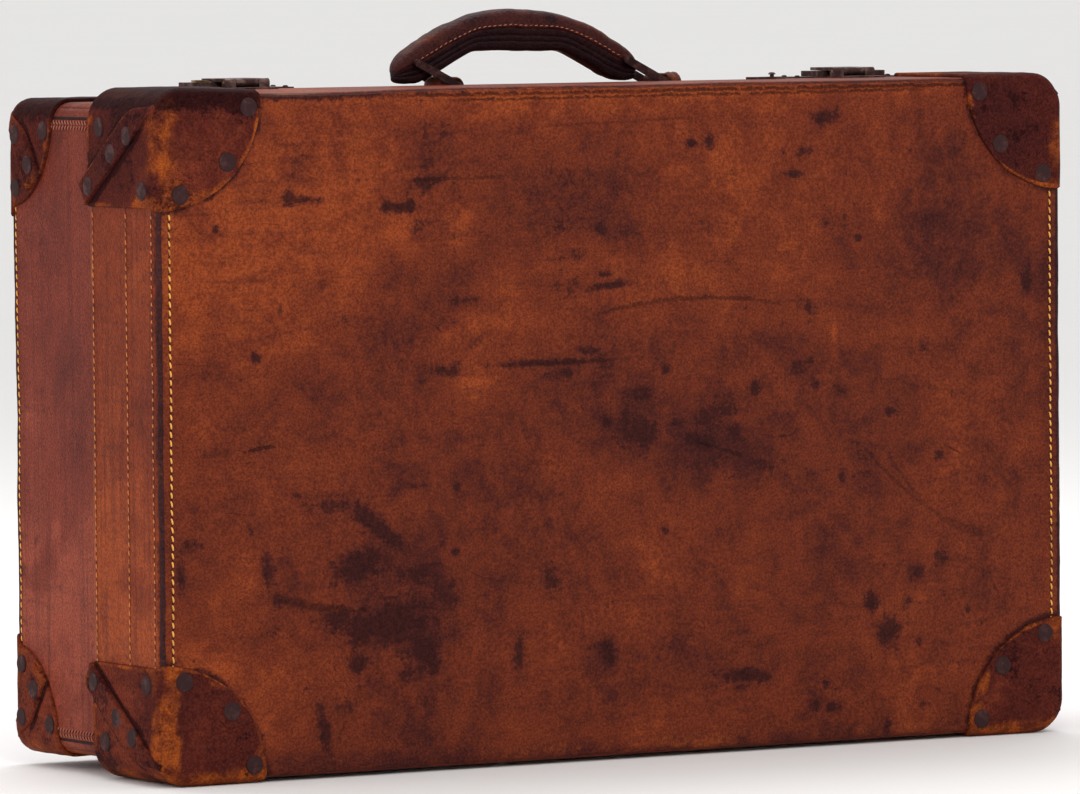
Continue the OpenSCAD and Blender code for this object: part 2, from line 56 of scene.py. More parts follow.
half_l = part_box("lid_right_leather")[1].x
lid_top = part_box("lid_top_leather")[1].z
lid_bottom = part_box("lid_bottom_leather")[0].z
front_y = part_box("lid_front_leather")[0].y
seam_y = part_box("lid_top_leather")[1].y
back_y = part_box("base_back_leather")[1].y
base_half_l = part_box("base_right_leather")[1].x
base_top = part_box("base_top_leather")[1].z
base_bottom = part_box("base_bottom_leather")[0].z
flat_half_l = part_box("lid_top_board")[1].x
mid_z = (lid_top + lid_bottom) / 2
cap_t = front_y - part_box("lid_cap_top_left")[0].y
LEATHER_T = 2.0 * MM
LOBE_R = 74 * MM
RIVET_R = 6 * MM
HEAD_H = 1.0 * MM
STITCH_PITCH = 5.4 * MM


def srgb(red, green, blue):
    """A colour given as a picture shows it, 0 to 255, as a linear one."""
    def linear(v):
        v /= 255
        return v / 12.92 if v <= 0.04045 else ((v + 0.055) / 1.055) ** 2.4

    return (linear(red), linear(green), linear(blue), 1.0)


def smooth(t):
    t = min(max(t, 0.0), 1.0)
    return t * t * (3 - 2 * t)


def ripple(point, size, octaves=3):
    """Smooth noise about 0 whose features are about size across."""
    return noise.fractal(Vector(point) / size, 0.8, 2.0, octaves)


def bell(x, width):
    return math.exp(-((x / width) ** 2))


# ---------- marks of age ----------

# Marks on the lid's face, in millimetres from its middle and from its bottom edge: middle, radii, tilt in degrees
# and strength. Stains are crisp and ragged, shades are soft, blooms are paler places. Two of the stains, along
# the top edge on the left, and the shade along the bottom edge are painted shade.
FACE_STAINS_AND_SHADE = [
    (-185, 156, 24, 5, -38, 0.85), (-173, 147, 9, 4, -30, 1.0), (-196, 131, 16, 9, 15, 0.95),
    (-213, 169, 16, 6, -10, 0.55), (-238, 176, 16, 5, -15, 0.4), (-262, 131, 4.5, 9, 10, 0.9),
    (-256, 110, 8, 4, -20, 0.5), (-212, 96, 14, 6, -10, 0.7), (-195, 90, 10, 8, 0, 0.95),
    (-170, 93, 20, 12, 0, 1.0), (-158, 102, 16, 6, 10, 0.75), (-150, 120, 16, 12, 0, 0.62),
    (-135, 108, 12, 14, 0, 0.52), (-165, 123, 14, 8, 0, 0.48), (-152, 76, 11, 8, -20, 1.0),
    (-160, 60, 10, 6, 0, 0.7), (-145, 68, 7, 10, 0, 0.8), (-198, 69, 6, 6, 0, 0.9), (-190, 58, 14, 6, -30, 0.4),
    (-146, 43, 7, 9, 0, 0.5), (-127, 136, 2.5, 2.5, 0, 1.0), (-136, 141, 2, 3, 0, 0.7),
    (-222, 26, 3.6, 16, 12, 0.85), (-207, 42, 9, 4, 0, 0.45), (-80, 70, 3.5, 9, 0, 0.85),
    (-56, 116, 7, 9, -10, 0.5), (-14, 66, 7, 9, 0, 0.75), (-318, 149, 7, 4, 0, 0.55),
    (-324, 128, 4, 7, 0, 0.85), (-260, 93, 6, 5, 0, 0.38), (-275, 158, 2.5, 6, 0, 0.45),
    (-245, 363, 3.6, 4, 0, 1.0), (-232, 362, 9, 2, -3, 0.85), (-165, 355, 10, 2.6, 0, 1.0),
    (-174, 356, 2.8, 4, 0, 1.0), (-157, 356, 2.8, 4, 0, 1.0), (-297, 345, 2.2, 2.2, 0, 1.0),
    (-270, 264, 3.4, 2.4, -40, 0.95), (-252, 294, 2, 3, 0, 0.6), (-237, 383, 7, 7, 0, 0.42),
    (-145, 371, 14, 5, 15, 0.68), (-135, 403, 10, 12, 0, 0.38), (-145, 383, 10, 12, 0, 0.36),
    (-125, 363, 6, 8, 0, 0.38), (-152, 343, 5, 5, 0, 0.45), (-122, 295, 12, 5, 0, 0.58),
    (-135, 281, 12, 4, 0, 0.42), (-135, 251, 16, 4, 0, 0.58), (-150, 248, 4, 6, 0, 0.65),
    (-112, 268, 8, 3, 30, 0.5), (-60, 254, 34, 1.8, 0, 0.85), (-48, 247, 16, 4, 10, 0.65),
    (-40, 343, 20, 8, 0, 0.4), (-45, 370, 14, 6, 0, 0.48), (-20, 373, 16, 5, 0, 0.4),
    (-38, 323, 12, 4, 0, 0.48), (-17, 339, 4, 4, 0, 0.9), (-10, 302, 10, 1.8, 5, 0.95),
    (-14, 309, 5, 1.6, 0, 0.8), (-27, 261, 8, 2.4, -8, 1.0), (-50, 305, 8, 5, 45, 0.36),
    (-38, 304, 6, 4, 0, 0.45), (-12, 254, 12, 14, 0, 0.45), (-13, 214, 4, 4, 0, 0.85),
    (-155, 179, 8, 2, 0, 0.6), (-125, 178, 3, 3, 0, 0.7), (5, 211, 14, 12, 0, 0.66), (10, 231, 12, 4, 0, 0.65),
    (12, 206, 10, 10, 0, 0.78), (31, 247, 3, 3, 0, 1.0), (25, 254, 2, 3, 0, 0.6), (39, 212, 4, 2.5, 0, 1.0),
    (60, 211, 12, 10, 0, 0.65), (58, 200, 12, 4, -15, 1.0), (75, 220, 10, 12, 0, 0.62),
    (82, 203, 8, 8, 0, 0.62), (65, 188, 25, 8, 0, 0.45), (98, 233, 4, 4, 20, 0.9), (132, 244, 10, 7, 0, 0.62),
    (145, 234, 4, 3, 0, 0.7), (163, 229, 7, 4, 0, 0.7), (202, 214, 3.5, 2, 0, 1.0), (140, 283, 6, 8, 20, 0.48),
    (100, 181, 14, 8, 0, 0.42), (142, 174, 8, 5, 0, 0.48), (166, 174, 3, 6, 0, 0.65),
    (180, 185, 8, 12, 20, 0.48), (242, 184, 4, 3, 0, 0.75), (254, 168, 5, 5, 0, 0.45), (52, 391, 3, 3, 0, 0.9),
    (66, 392, 3, 4, 0, 0.85), (155, 406, 9, 5, 10, 0.78), (129, 370, 9, 2.2, 0, 0.8), (138, 384, 6, 3, 20, 0.6),
    (122, 383, 3, 4, 0, 0.45), (65, 338, 5, 3, 0, 0.42), (155, 338, 6, 6, 0, 0.4), (168, 338, 4, 6, 0, 0.45),
    (311, 295, 3.5, 8, 0, 1.0), (313, 308, 1.8, 8, 0, 0.7), (236, 338, 10, 6, 0, 0.42),
    (178, 328, 3, 1.6, -20, 0.85), (229, 256, 4, 5, 0, 0.55), (262, 390, 2.5, 3, 0, 0.5),
    (200, 70, 8, 9, 0, 0.85), (187, 90, 5, 5, 0, 1.0), (222, 108, 6, 6, 0, 0.68), (243, 116, 5, 6, 0, 0.58),
    (215, 90, 5, 4, 0, 0.55), (88, 47, 11, 3.5, 0, 1.0), (104, 45, 6, 3, 0, 0.68), (88, 40, 5, 3, 0, 0.6),
    (144, 25, 4, 4, 0, 0.9), (158, 23, 5, 3.5, 0, 0.9), (152, 39, 3, 3, 0, 0.7), (30, 143, 3, 3, 0, 0.6),
    # The first two marks on the next line darken the face's top edge on the left: painted shade, not stains.
    (-225, 430, 45, 4, 0, 0.9), (-150, 431, 30, 2, 0, 0.5), (225, 63, 3, 3, 0, 0.6), (228, 22, 6, 3, 0, 0.45),
    (200, 8, 3, 6, 0, 0.8), (265, 86, 9, 9, 0, 0.34),
]
FACE_SHADES = [
    (235, 333, 42, 38, 0, 0.75), (225, 358, 35, 25, 0, 0.35), (-20, 228, 55, 24, 0, 0.5),
    (60, 200, 48, 24, 0, 0.6), (30, 263, 25, 12, 0, 0.5), (100, 258, 60, 16, 0, 0.35),
    (-170, 118, 55, 42, -15, 0.45), (-205, 240, 50, 28, 0, 0.3), (-130, 190, 50, 20, 0, 0.45),
    (-100, 230, 120, 10, 0, 0.25), (-125, 385, 40, 20, 0, 0.4), (-30, 358, 60, 24, 0, 0.4),
    (100, 60, 120, 36, 0, 0.4), (180, 108, 80, 36, 0, 0.35), (-280, 208, 25, 12, 0, 0.3),
    # The last mark on the next line darkens the face along its bottom edge: painted shade.
    (-290, 160, 40, 20, 0, 0.3), (334, 200, 14, 200, 0, 0.3), (0, 2, 330, 9, 0, 0.5),
    (-60, 40, 120, 26, 0, 0.25), (-188, 268, 30, 26, 0, 0.35), (-140, 310, 30, 14, 0, 0.3),
    (230, 240, 80, 60, 0, 0.25),
]
FACE_BLOOMS = [
    (-318, 298, 16, 30, 0, 0.8), (-230, 42, 55, 30, 10, 0.5), (-290, 330, 60, 70, 0, 0.35),
    (100, 375, 110, 40, 0, 0.3), (-318, 226, 14, 20, 0, 0.55), (-290, 118, 15, 25, 0, 0.4),
    (-110, 413, 12, 6, 0, 0.6), (-165, 333, 14, 10, 0, 0.4), (30, 318, 60, 18, 0, 0.35),
    (195, 342, 3, 5, 20, 1.0), (160, 266, 2, 10, 0, 0.8), (-237, 340, 3, 2.5, 0, 1.0),
    (-264, 298, 3, 4, 0, 0.8), (100, 245, 5, 3, 0, 0.5), (-110, 238, 22, 7, -8, 0.5),
    (-200, 390, 24, 20, 0, 0.4), (-90, 285, 34, 12, 0, 0.4), (60, 425, 300, 5, 0, 1.0),
    (0, 416, 300, 6, 0, 0.4), (-318, 82, 10, 14, 20, 0.9), (-296, 68, 14, 8, -25, 0.8),
    (-258, 25, 9, 8, 0, 0.8),
]
# Scratches and creases: from, to along x, then z there as start + rise t + bend t^2, half width and strength
FACE_SCARS = [
    (-282, -255, 205, 3, 0, 0.8, 0.95), (-30, 125, 281, 39.7, -35.7, 1.1, 0.7),
    (178, 286, 195, -115, 50, 1.5, 0.55), (195, 286, 195, -140, 76, 1.5, 0.45),
    (-160, -83, 372, 1, 0, 0.9, 0.6), (-148, -128, 364, 14, 0, 1.2, 0.6), (-262, -200, 115, -22, 9, 2.6, 0.85),
    (245, 258, 191, -7, 0, 0.7, 0.8), (115, 132, 201, -4, 9, 0.7, 0.7), (50, 92, 201, -13, 0, 1.2, 0.85),
    (-200, 335, 425.5, 0, 0, 0.9, 1.0), (-150, 250, 422, 1, 0, 0.7, 0.9), (-120, 300, 428.5, 0, 0, 0.7, 0.9),
    (-60, 60, 404, 4, 0, 0.6, 0.35), (-215, -190, 100, 8, -6, 1.0, 0.8), (-95, 10, 252, 3, 0, 0.8, 0.5),
    (-310, -284, 204, 1, 0, 2.0, 0.4),
]


# ---------- materials ----------


class Value:
    """A node's output that can be reckoned with. Each step becomes a node of its own."""

    def __init__(self, graph, socket):
        self.graph, self.socket = graph, socket

    def __add__(self, other):
        return self.graph.math("ADD", self, other)

    def __sub__(self, other):
        return self.graph.math("SUBTRACT", self, other)

    def __rsub__(self, other):
        return self.graph.math("SUBTRACT", other, self)

    def __mul__(self, other):
        return self.graph.math("MULTIPLY", self, other)

    def __truediv__(self, other):
        return self.graph.math("DIVIDE", self, other)

    def __abs__(self):
        return self.graph.math("ABSOLUTE", self)


class Graph:
    """A material's nodes. What goes into them is a Value, a number or a colour."""

    def __init__(self, name):
        self.material = bpy.data.materials.new(name)
        self.material.use_nodes = True
        self.tree = self.material.node_tree
        self.tree.nodes.clear()
        self.place = self.made("ShaderNodeTexCoord", "Object")

    def made(self, kind, output, inputs=None, **settings):
        """The named output of a new node, whose inputs are given by name or by number."""
        node = self.tree.nodes.new(kind)
        for name, setting in settings.items():
            setattr(node, name, setting)
        for name, value in (inputs or {}).items():
            if isinstance(value, Value):
                self.tree.links.new(value.socket, node.inputs[name])
            else:
                node.inputs[name].default_value = value
        return Value(self, node.outputs[output]) if output else node

    def attribute(self, name):
        return self.made("ShaderNodeAttribute", "Fac", attribute_name=name)

    def axis(self, name):
        return self.made("ShaderNodeSeparateXYZ", name, {"Vector": self.place})

    def stretched(self, scale, turn=(0, 0, 0)):
        return self.made("ShaderNodeMapping", "Vector", {"Vector": self.place, "Rotation": turn, "Scale": scale})

    def noise(self, scale, detail=4.0, rough=0.55, distort=0.0, place=None):
        inputs = {"Scale": scale, "Detail": detail, "Roughness": rough, "Distortion": distort}
        return self.made("ShaderNodeTexNoise", "Fac", {"Vector": place or self.place, **inputs})

    def cells(self, scale):
        return self.made("ShaderNodeTexVoronoi", "Distance", {"Vector": self.place, "Scale": scale})

    def math(self, kind, a, b=0.0, clamp=False):
        return self.made("ShaderNodeMath", "Value", {0: a, 1: b}, operation=kind, use_clamp=clamp)

    def band(self, value, low, high):
        """0 below low and 1 above high, smooth between."""
        inputs = {"Value": value, "From Min": low, "From Max": high}
        return self.made("ShaderNodeMapRange", "Result", inputs, interpolation_type="SMOOTHSTEP")

    def span(self, value, low, high):
        """0 to 1 spread linearly over low to high."""
        return self.made("ShaderNodeMapRange", "Result", {"Value": value, "To Min": low, "To Max": high})

    def mix(self, share, a, b, kind="MIX"):
        inputs = {"Factor": share, "A": a, "B": b}
        return self.made("ShaderNodeMix", "Result", inputs, data_type="RGBA", blend_type=kind)

    def hairlines(self, place, scale, width, detail=3.0):
        """Thin wandering lines: the places where a noise passes its middle value."""
        off = abs(self.noise(scale, detail, 0.5, 0.6, place) - 0.5)
        return self.math("SUBTRACT", 1.0, self.band(off, 0.0, width), clamp=True)

    def scar(self, x0, x1, start, rise, bend, half_w, strength, wander):
        """A curved line drawn on the lid's face, in millimetres along it and up from its bottom edge."""
        t = (self.axis("X") - x0 * MM) / ((x1 - x0) * MM)
        line = (t * bend + rise) * t + start + (wander - 0.5) * 9.0
        off = abs((self.axis("Z") - lid_bottom) / MM - line)
        near = (1.0 - self.band(off, half_w * 0.5, half_w * 1.6)) * self.band(0.5 - abs(t - 0.5), 0.0, 0.12)
        return near * self.band(wander, 0.36, 0.52) * strength

    def shader(self, colour, rough, height, depth, metal=0.0, specular=0.5, sheen=0.0):
        bump = self.made("ShaderNodeBump", "Normal", {"Distance": depth, "Strength": 1.0, "Height": height})
        return self.made("ShaderNodeBsdfPrincipled", "BSDF", {
            "Normal": bump, "Base Color": colour, "Roughness": rough, "Metallic": metal,
            "Specular IOR Level": specular, "Sheen Weight": sheen,
        })

    def finish(self, shader):
        self.made("ShaderNodeOutputMaterial", None, {"Surface": shader})
        return self.material


def leather(name, tones, tone_at=0.5, rough=(0.45, 0.62), streaks=0.0, scars=(), cloudy=0.66, gloss=0.06):
    """Old cowhide: cloudy tones, stains, painted shade and rubbed places from the mesh's attributes, scratches,
    pores.
    The tones are light, middle, dark, stained (also the colour of the painted shade) and rubbed. streaks adds the
    long stretch marks of a panel whose grain runs up and down."""
    light, middle, dark, stain, rub = (srgb(*tone) for tone in tones)
    g = Graph(name)
    cloud = g.noise(7.5, 9, 0.66, 0.6)
    mottle = g.noise(38, 10, 0.7, 0.35)
    ragged = g.noise(115, 9, 0.76, 0.7)
    speck = g.noise(360, 5, 0.65)
    tone = cloud * cloudy + (ragged * 0.3 + mottle * 0.7) * (1 - cloudy)
    tone = tone - g.attribute("shade") * 0.16 + g.attribute("bloom") * 0.12
    colour = g.mix(g.band(tone, tone_at - 0.15, tone_at + 0.02), dark, middle)
    colour = g.mix(g.band(tone, tone_at, tone_at + 0.12), colour, light)
    # Handling leaves faint upright and level smears
    smear = g.noise(1.0, 8, 0.62, 0.3, g.stretched((26, 26, 150)))
    drip = g.noise(1.0, 8, 0.62, 0.3, g.stretched((170, 170, 20)))
    smears = g.band(smear, 0.5, 0.68) * g.band(cloud, 0.42, 0.6)
    smears = g.math("MAXIMUM", smears, g.band(drip, 0.54, 0.72) * g.band(mottle, 0.45, 0.6))
    colour = g.mix(smears * 0.36, colour, dark)
    if streaks:
        drawn = g.noise(1.0, 7, 0.6, 0.2, g.stretched((210, 210, 7)))
        colour = g.mix(g.band(drawn, 0.46, 0.66) * streaks, colour, dark)
    pores = g.cells(680)
    colour = g.mix(g.band(pores, 0.5, 0.9) * 0.14, colour, light)
    # Rubbed places show the raw tan hide
    rubbed = g.band(g.attribute("rub") + (mottle * 0.9 + ragged * 0.8 - 1.14), -0.12, 0.5)
    rubbed = rubbed * g.span(g.band(g.noise(75, 8, 0.75, 0.4), 0.4, 0.58), 1.0, 0.35)
    colour = g.mix(rubbed, colour, rub)
    # Stains with ragged edges, over the places that the mesh marks, and a soft halo round them. Some of the marked
    # places are painted shade, not stains: the shadow round the caps' edges and beside their pleats, the top edge
    # on the left, the grip's underside and the base's fold line.
    broken = g.noise(260, 8, 0.78, 0.5)
    frayed = ragged * 2.1 + smear * 0.9 + drip * 0.8 + speck * 0.5 + broken * 1.8
    soil_and_shade = g.attribute("stain")
    soiled_and_shaded = soil_and_shade + (frayed - 3.5)
    halo = g.band(soil_and_shade + mottle * 0.9, 0.55, 1.15)
    stained = g.band(soiled_and_shaded, 0.0, 0.12) * g.span(g.band(broken, 0.36, 0.56), 0.9, 0.5)
    colour = g.mix(halo * 0.5, colour, dark)
    colour = g.mix(g.band(soiled_and_shaded, -0.3, 0.1) * 0.55, colour, dark)
    colour = g.mix(stained, colour, stain)
    # Small dark flecks anywhere
    colour = g.mix(g.band(g.noise(95, 6, 0.74, 0.9), 0.655, 0.69) * 0.55, colour, stain)
    # Fine long scratches, broken up by the clouds, and dry cracks
    scratch = g.hairlines(g.stretched((7, 30, 22), turn=(0.0, 0.6, 0.0)), 1.3, 0.006, 1.0)
    scratch = scratch * (g.band(g.noise(16, 4, 0.6), 0.57, 0.66) * 0.5)
    for scar in scars:
        scratch = g.math("MAXIMUM", scratch, g.scar(*scar, ragged))
    colour = g.mix(scratch * 0.75, colour, stain)
    cracks = g.hairlines(g.place, 60, 0.012, 7) * g.band(mottle, 0.54, 0.64)
    colour = g.mix(cracks * 0.45, colour, dark)
    # The grain's own light and dark
    colour = g.mix(g.span(speck, 0.0, 0.6), colour, (0.62, 0.53, 0.52, 1), "MULTIPLY")
    colour = g.mix(g.band(g.noise(620, 2, 0.8), 0.36, 0.64), colour, (0.6, 0.53, 0.52, 1), "MULTIPLY")
    height = g.band(pores, 0.0, 0.9) * 0.3 + mottle * 1.3 + g.noise(130, 7, 0.66) * 0.9
    height = height - scratch * 0.7 - cracks * 0.5
    shine = g.span(mottle, rough[1], rough[0]) - stained * 0.06
    return g.finish(g.shader(colour, shine, height, 0.0006, specular=gloss))


def thread(name, clean):
    """Waxed linen thread, dirty in places."""
    g = Graph(name)
    twist = g.noise(1500, 2, 0.5)
    grime = g.band(g.noise(38, 5, 0.6), 0.5, 0.72)
    colour = g.mix(grime, srgb(*clean), srgb(134, 76, 42))
    colour = g.mix(g.span(twist, 0.0, 0.35), colour, srgb(170, 110, 60), "MULTIPLY")
    return g.finish(g.shader(colour, g.span(twist, 0.5, 0.75), twist, 0.0002, specular=0.3))


def metal(name, clean, tarnish, rough, patches=0.5, bare=0.85):
    """Old metal: tarnish in patches, bright where it's rubbed."""
    g = Graph(name)
    cloud = g.noise(120, 7, 0.65, 0.4)
    grown = g.band(cloud + g.noise(900, 3, 0.6) * 0.2, patches, patches + 0.2)
    colour = g.mix(grown, srgb(*clean), srgb(*tarnish))
    height = cloud - g.hairlines(g.stretched((300, 60, 60)), 1.0, 0.03) * 0.3
    shine = g.span(grown, rough, rough + 0.28)
    return g.finish(g.shader(colour, shine, height, 0.0002, metal=bare, specular=0.2))


def woven(name, base, worn, pitch):
    """Plain woven cloth: over and under threads both ways, faded in clouds."""
    g = Graph(name)

    def threads(direction):
        inputs = {"Vector": g.place, "Scale": math.pi / pitch / 10, "Distortion": 0.4, "Detail": 1.0}
        return g.made("ShaderNodeTexWave", "Fac", inputs, bands_direction=direction)

    weave = g.math("MAXIMUM", threads("X"), threads("Y")) * threads("Z")
    colour = g.mix(g.band(g.noise(9, 6, 0.6, 0.4), 0.42, 0.66), srgb(*base), srgb(*worn))
    colour = g.mix(g.span(weave, 0.4, 0.0), colour, (0.5, 0.45, 0.4, 1), "MULTIPLY")
    colour = g.mix(g.band(g.noise(55, 7, 0.7), 0.62, 0.72) * 0.35, colour, srgb(96, 72, 48))
    return g.finish(g.shader(colour, 0.9, weave, 0.0003, specular=0.2, sheen=0.25))


def board(name):
    """Grey-brown fibre board with its laid fibres."""
    g = Graph(name)
    fibre = g.noise(1.0, 6, 0.6, 0.3, g.stretched((60, 400, 60)))
    colour = g.mix(fibre, srgb(148, 122, 92), srgb(96, 76, 56))
    return g.finish(g.shader(colour, 0.85, fibre, 0.0003, specular=0.2))


# Each hide's tones and its other settings
FRONT = ((155, 73, 37), (122, 54, 32), (74, 32, 29), (46, 19, 20), (186, 100, 46))
HIDES = {
    "front": (FRONT, {"scars": FACE_SCARS, "cloudy": 0.42}),
    "back": (FRONT, {}),
    "rim": (
        ((164, 76, 32), (137, 57, 25), (98, 38, 24), (58, 27, 25), (176, 100, 54)),
        {"streaks": 0.5, "rough": (0.38, 0.56)},
    ),
    "end": (
        ((160, 79, 58), (135, 61, 45), (100, 44, 36), (56, 29, 30), (160, 90, 60)),
        {"streaks": 0.5, "rough": (0.4, 0.6)},
    ),
    "cap": (
        ((126, 59, 41), (90, 40, 33), (65, 30, 30), (28, 12, 15), (166, 84, 36)),
        {"tone_at": 0.53, "rough": (0.42, 0.6), "gloss": 0.01},
    ),
    "dark": (
        ((92, 48, 42), (72, 36, 34), (46, 26, 29), (34, 22, 27), (132, 72, 44)),
        {"tone_at": 0.52, "rough": (0.34, 0.52), "gloss": 0.05},
    ),
    "welt": (((86, 48, 45), (68, 38, 38), (48, 28, 31), (38, 24, 28), (128, 72, 46)), {}),
    "groove": (((92, 46, 34), (74, 36, 30), (54, 28, 27), (40, 23, 25), (110, 60, 36)), {}),
    "strap": (((136, 86, 52), (112, 68, 42), (80, 47, 32), (56, 34, 28), (160, 112, 70)), {}),
}
hides = {key: leather("hide_" + key, tones, **settings) for key, (tones, settings) in HIDES.items()}
linen = thread("linen_thread", (244, 178, 84))
faded_linen = thread("faded_thread", (190, 122, 100))
soiled_linen = thread("soiled_thread", (208, 128, 66))
hide_thread = thread("hide_thread", (160, 92, 74))
rivet_metal = metal("rivet_metal", (72, 39, 37), (50, 27, 28), 0.5, 0.42, 0.2)
ring_steel = metal("ring_steel", (84, 54, 50), (46, 27, 28), 0.4, 0.46, 0.6)
dark_steel = metal("dark_steel", (108, 84, 78), (68, 46, 44), 0.34, 0.46)
old_brass = metal("old_brass", (176, 138, 84), (92, 64, 42), 0.3)
lining_cloth = woven("lining_cloth", (176, 152, 112), (146, 120, 84), 1.1 * MM)
fibre_board = board("fibre_board")


# ---------- mesh making ----------


def make(name, points, faces, material, body, replaced=(), shade=True):
    """A mesh object that rides on a body and stands for CAD nodes."""
    mesh = bpy.data.meshes.new(name)
    mesh.from_pydata([tuple(p) for p in points], [], faces)
    mesh.validate()
    if shade:
        mesh.polygons.foreach_set("use_smooth", [True] * len(mesh.polygons))
    piece = bpy.data.objects.new(name, mesh)
    bpy.context.scene.collection.objects.link(piece)
    mesh.materials.append(material)
    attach(piece, body)
    if replaced:
        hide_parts(*replaced)
    return piece


def mark(piece, name, values):
    attribute = piece.data.attributes.new(name, "FLOAT", "POINT")
    attribute.data.foreach_set("value", values)


class Soup:
    """Points and faces of several parts that become one mesh."""

    def __init__(self):
        self.points, self.faces, self.stain, self.rub = [], [], [], []

    def add(self, points, faces, stain=0.0, rub=0.0):
        start = len(self.points)
        self.points += [Vector(p) for p in points]
        self.faces += [tuple(start + i for i in face) for face in faces]
        self.stain += stain if isinstance(stain, list) else [stain] * len(points)
        self.rub += rub if isinstance(rub, list) else [rub] * len(points)
        return self

    def piece(self, name, material, body, slot_name, replaced=(), shade=True):
        piece = make(name, self.points, self.faces, material, body, replaced, shade)
        mark(piece, "stain", self.stain)
        mark(piece, "rub", self.rub)
        return piece


def grid_faces(rows, columns, closed=False, flip=False):
    """Faces of a grid stored row by row. closed joins the last column to the first."""
    faces = []
    for i in range(rows - 1):
        for j in range(columns if closed else columns - 1):
            k = (j + 1) % columns
            face = (i * columns + j, i * columns + k, (i + 1) * columns + k, (i + 1) * columns + j)
            faces.append(face[::-1] if flip else face)
    return faces


def tube_faces(rows, sides, inward=False):
    """Faces of a closed tube of rings, with its two ends."""
    first, last = tuple(range(sides)), tuple(range(sides * (rows - 1), sides * rows))
    ends = [first, last[::-1]] if inward else [first[::-1], last]
    return grid_faces(rows, sides, closed=True) + ends


def around(count):
    """The cosines and sines of so many equal steps round a circle."""
    turns = [2 * math.pi * k / count for k in range(count)]
    return [(math.cos(a), math.sin(a)) for a in turns]


def steps(low, high, about):
    """Numbers from low to high, about so far apart."""
    n = max(2, round(abs(high - low) / about))
    return [low + (high - low) * i / n for i in range(n + 1)]


def bevelled(piece, width, segments=3, angle=40):
    bevel = piece.modifiers.new("bevel", "BEVEL")
    bevel.width = width
    bevel.segments = segments
    bevel.limit_method = "ANGLE"
    bevel.angle_limit = math.radians(angle)
    return piece


# ---------- the two shells' skins ----------


class Shell:
    """The outer skin of the lid or the base. A place on it is given on the sharp box that encloses it: x and z,
    and d, the distance in from the big face. lift is the height above the skin."""

    def __init__(self, body, reach, bottom, top, face_y, out, depth, edge_r):
        self.body, self.reach, self.face_y, self.out, self.depth = body, reach, face_y, out, depth
        self.half_h = (top - bottom) / 2
        self.corner_r = reach - flat_half_l
        self.edge_r = edge_r

    def sharp(self, x, z, d, lift=0.0):
        """The point without any warp, and the skin's normal there."""
        u, w = abs(x), abs(z - mid_z)
        flat_u, flat_w = self.reach - self.corner_r, self.half_h - self.corner_r
        du, dw = u - flat_u, w - flat_w
        if du > 0 and dw > 0:
            far = math.hypot(du, dw)
            nu, nw = du / far, dw / far
            inset = self.corner_r - max(du, dw)
            foot = (flat_u + nu * self.corner_r, flat_w + nw * self.corner_r)
        elif self.reach - u < self.half_h - w:
            nu, nw, inset, foot = 1.0, 0.0, self.reach - u, (self.reach, w)
        else:
            nu, nw, inset, foot = 0.0, 1.0, self.half_h - w, (u, self.half_h)
        r = self.edge_r
        if inset < r and d < r:
            side, front = r - inset, r - d
            far = math.hypot(side, front)
            side, front = side / far, front / far
            inset, d = r - side * (r + lift), r - front * (r + lift)
        elif d <= inset:
            side, front = 0.0, 1.0
            d = -lift
        else:
            side, front = 1.0, 0.0
            inset = -lift
        u, w = foot[0] - nu * inset, foot[1] - nw * inset
        sx, sz = math.copysign(1, x), math.copysign(1, z - mid_z)
        normal = Vector((sx * nu * side, self.out * front, sz * nw * side))
        return Vector((sx * u, self.face_y - self.out * d, mid_z + sz * w)), normal

    def warp(self, p):
        """How far age has moved the skin there: a slack face, dents, a sagging top edge."""
        inward = abs(p.y - self.face_y)
        fade = 1 - smooth(inward / (self.depth * 0.8))
        across = 1 - min(1, abs(p.x) / self.reach) ** 4
        up = 1 - min(1, abs(p.z - mid_z) / self.half_h) ** 4
        seed = Vector((3.1, 7.7 * self.out, 1.3))
        belly = 1.8 * MM * across * up + 0.9 * MM * ripple(p + seed, 0.16) + 0.35 * MM * ripple(p - seed, 0.05)
        sag = -1.7 * MM * bell(p.x + 0.24, 0.075) + 1.1 * MM * bell(p.x + 0.33, 0.05) if self.out < 0 else 0.0
        high = max(0.0, (p.z - mid_z) / self.half_h) ** 6
        low = max(0.0, (mid_z - p.z) / self.half_h) ** 6
        lean = 0.7 * MM * ripple((p.x, 0.3, self.out), 0.13)
        return Vector((
            0.7 * MM * ripple((p.z * 1.5, 5.0, self.out), 0.12) * fade,
            self.out * belly * (1 if inward < 0.012 else 0),
            (sag + lean) * high * fade + 0.4 * MM * abs(lean / MM) * low * fade,
        ))

    def place(self, x, z, d, lift=0.0):
        point, normal = self.sharp(x, z, d, lift)
        near_face = smooth((self.edge_r + 0.012 - abs(point.y - self.face_y)) / 0.012)
        move = self.warp(point)
        return point + Vector((move.x, move.y * near_face, move.z))

    def normal(self, x, z, d):
        return self.sharp(x, z, d)[1].normalized()


EDGE_R = 4.5 * MM
lid = Shell("lid", half_l, lid_bottom, lid_top, front_y, -1, seam_y - front_y, EDGE_R)
base = Shell("base", base_half_l, base_bottom, base_top, back_y, 1, back_y - seam_y, EDGE_R)


def thick(piece, thickness):
    solid = piece.modifiers.new("thickness", "SOLIDIFY")
    solid.thickness = thickness
    solid.offset = -1
    return piece


def spots(marks, x, z):
    """The strongest of the marks at a place on the lid's face, 0 to 1."""
    x, z, best = x / MM, (z - lid_bottom) / MM, 0.0
    for cx, cz, rx, rz, tilt, strength in marks:
        a, b = x - cx, z - cz
        if abs(a) < 2.5 * (rx + rz) and abs(b) < 2.5 * (rx + rz):
            turn = math.radians(tilt)
            p = (a * math.cos(turn) + b * math.sin(turn)) / rx
            q = (b * math.cos(turn) - a * math.sin(turn)) / rz
            best = max(best, strength * math.exp(-0.6 * (p * p + q * q)))
    return best


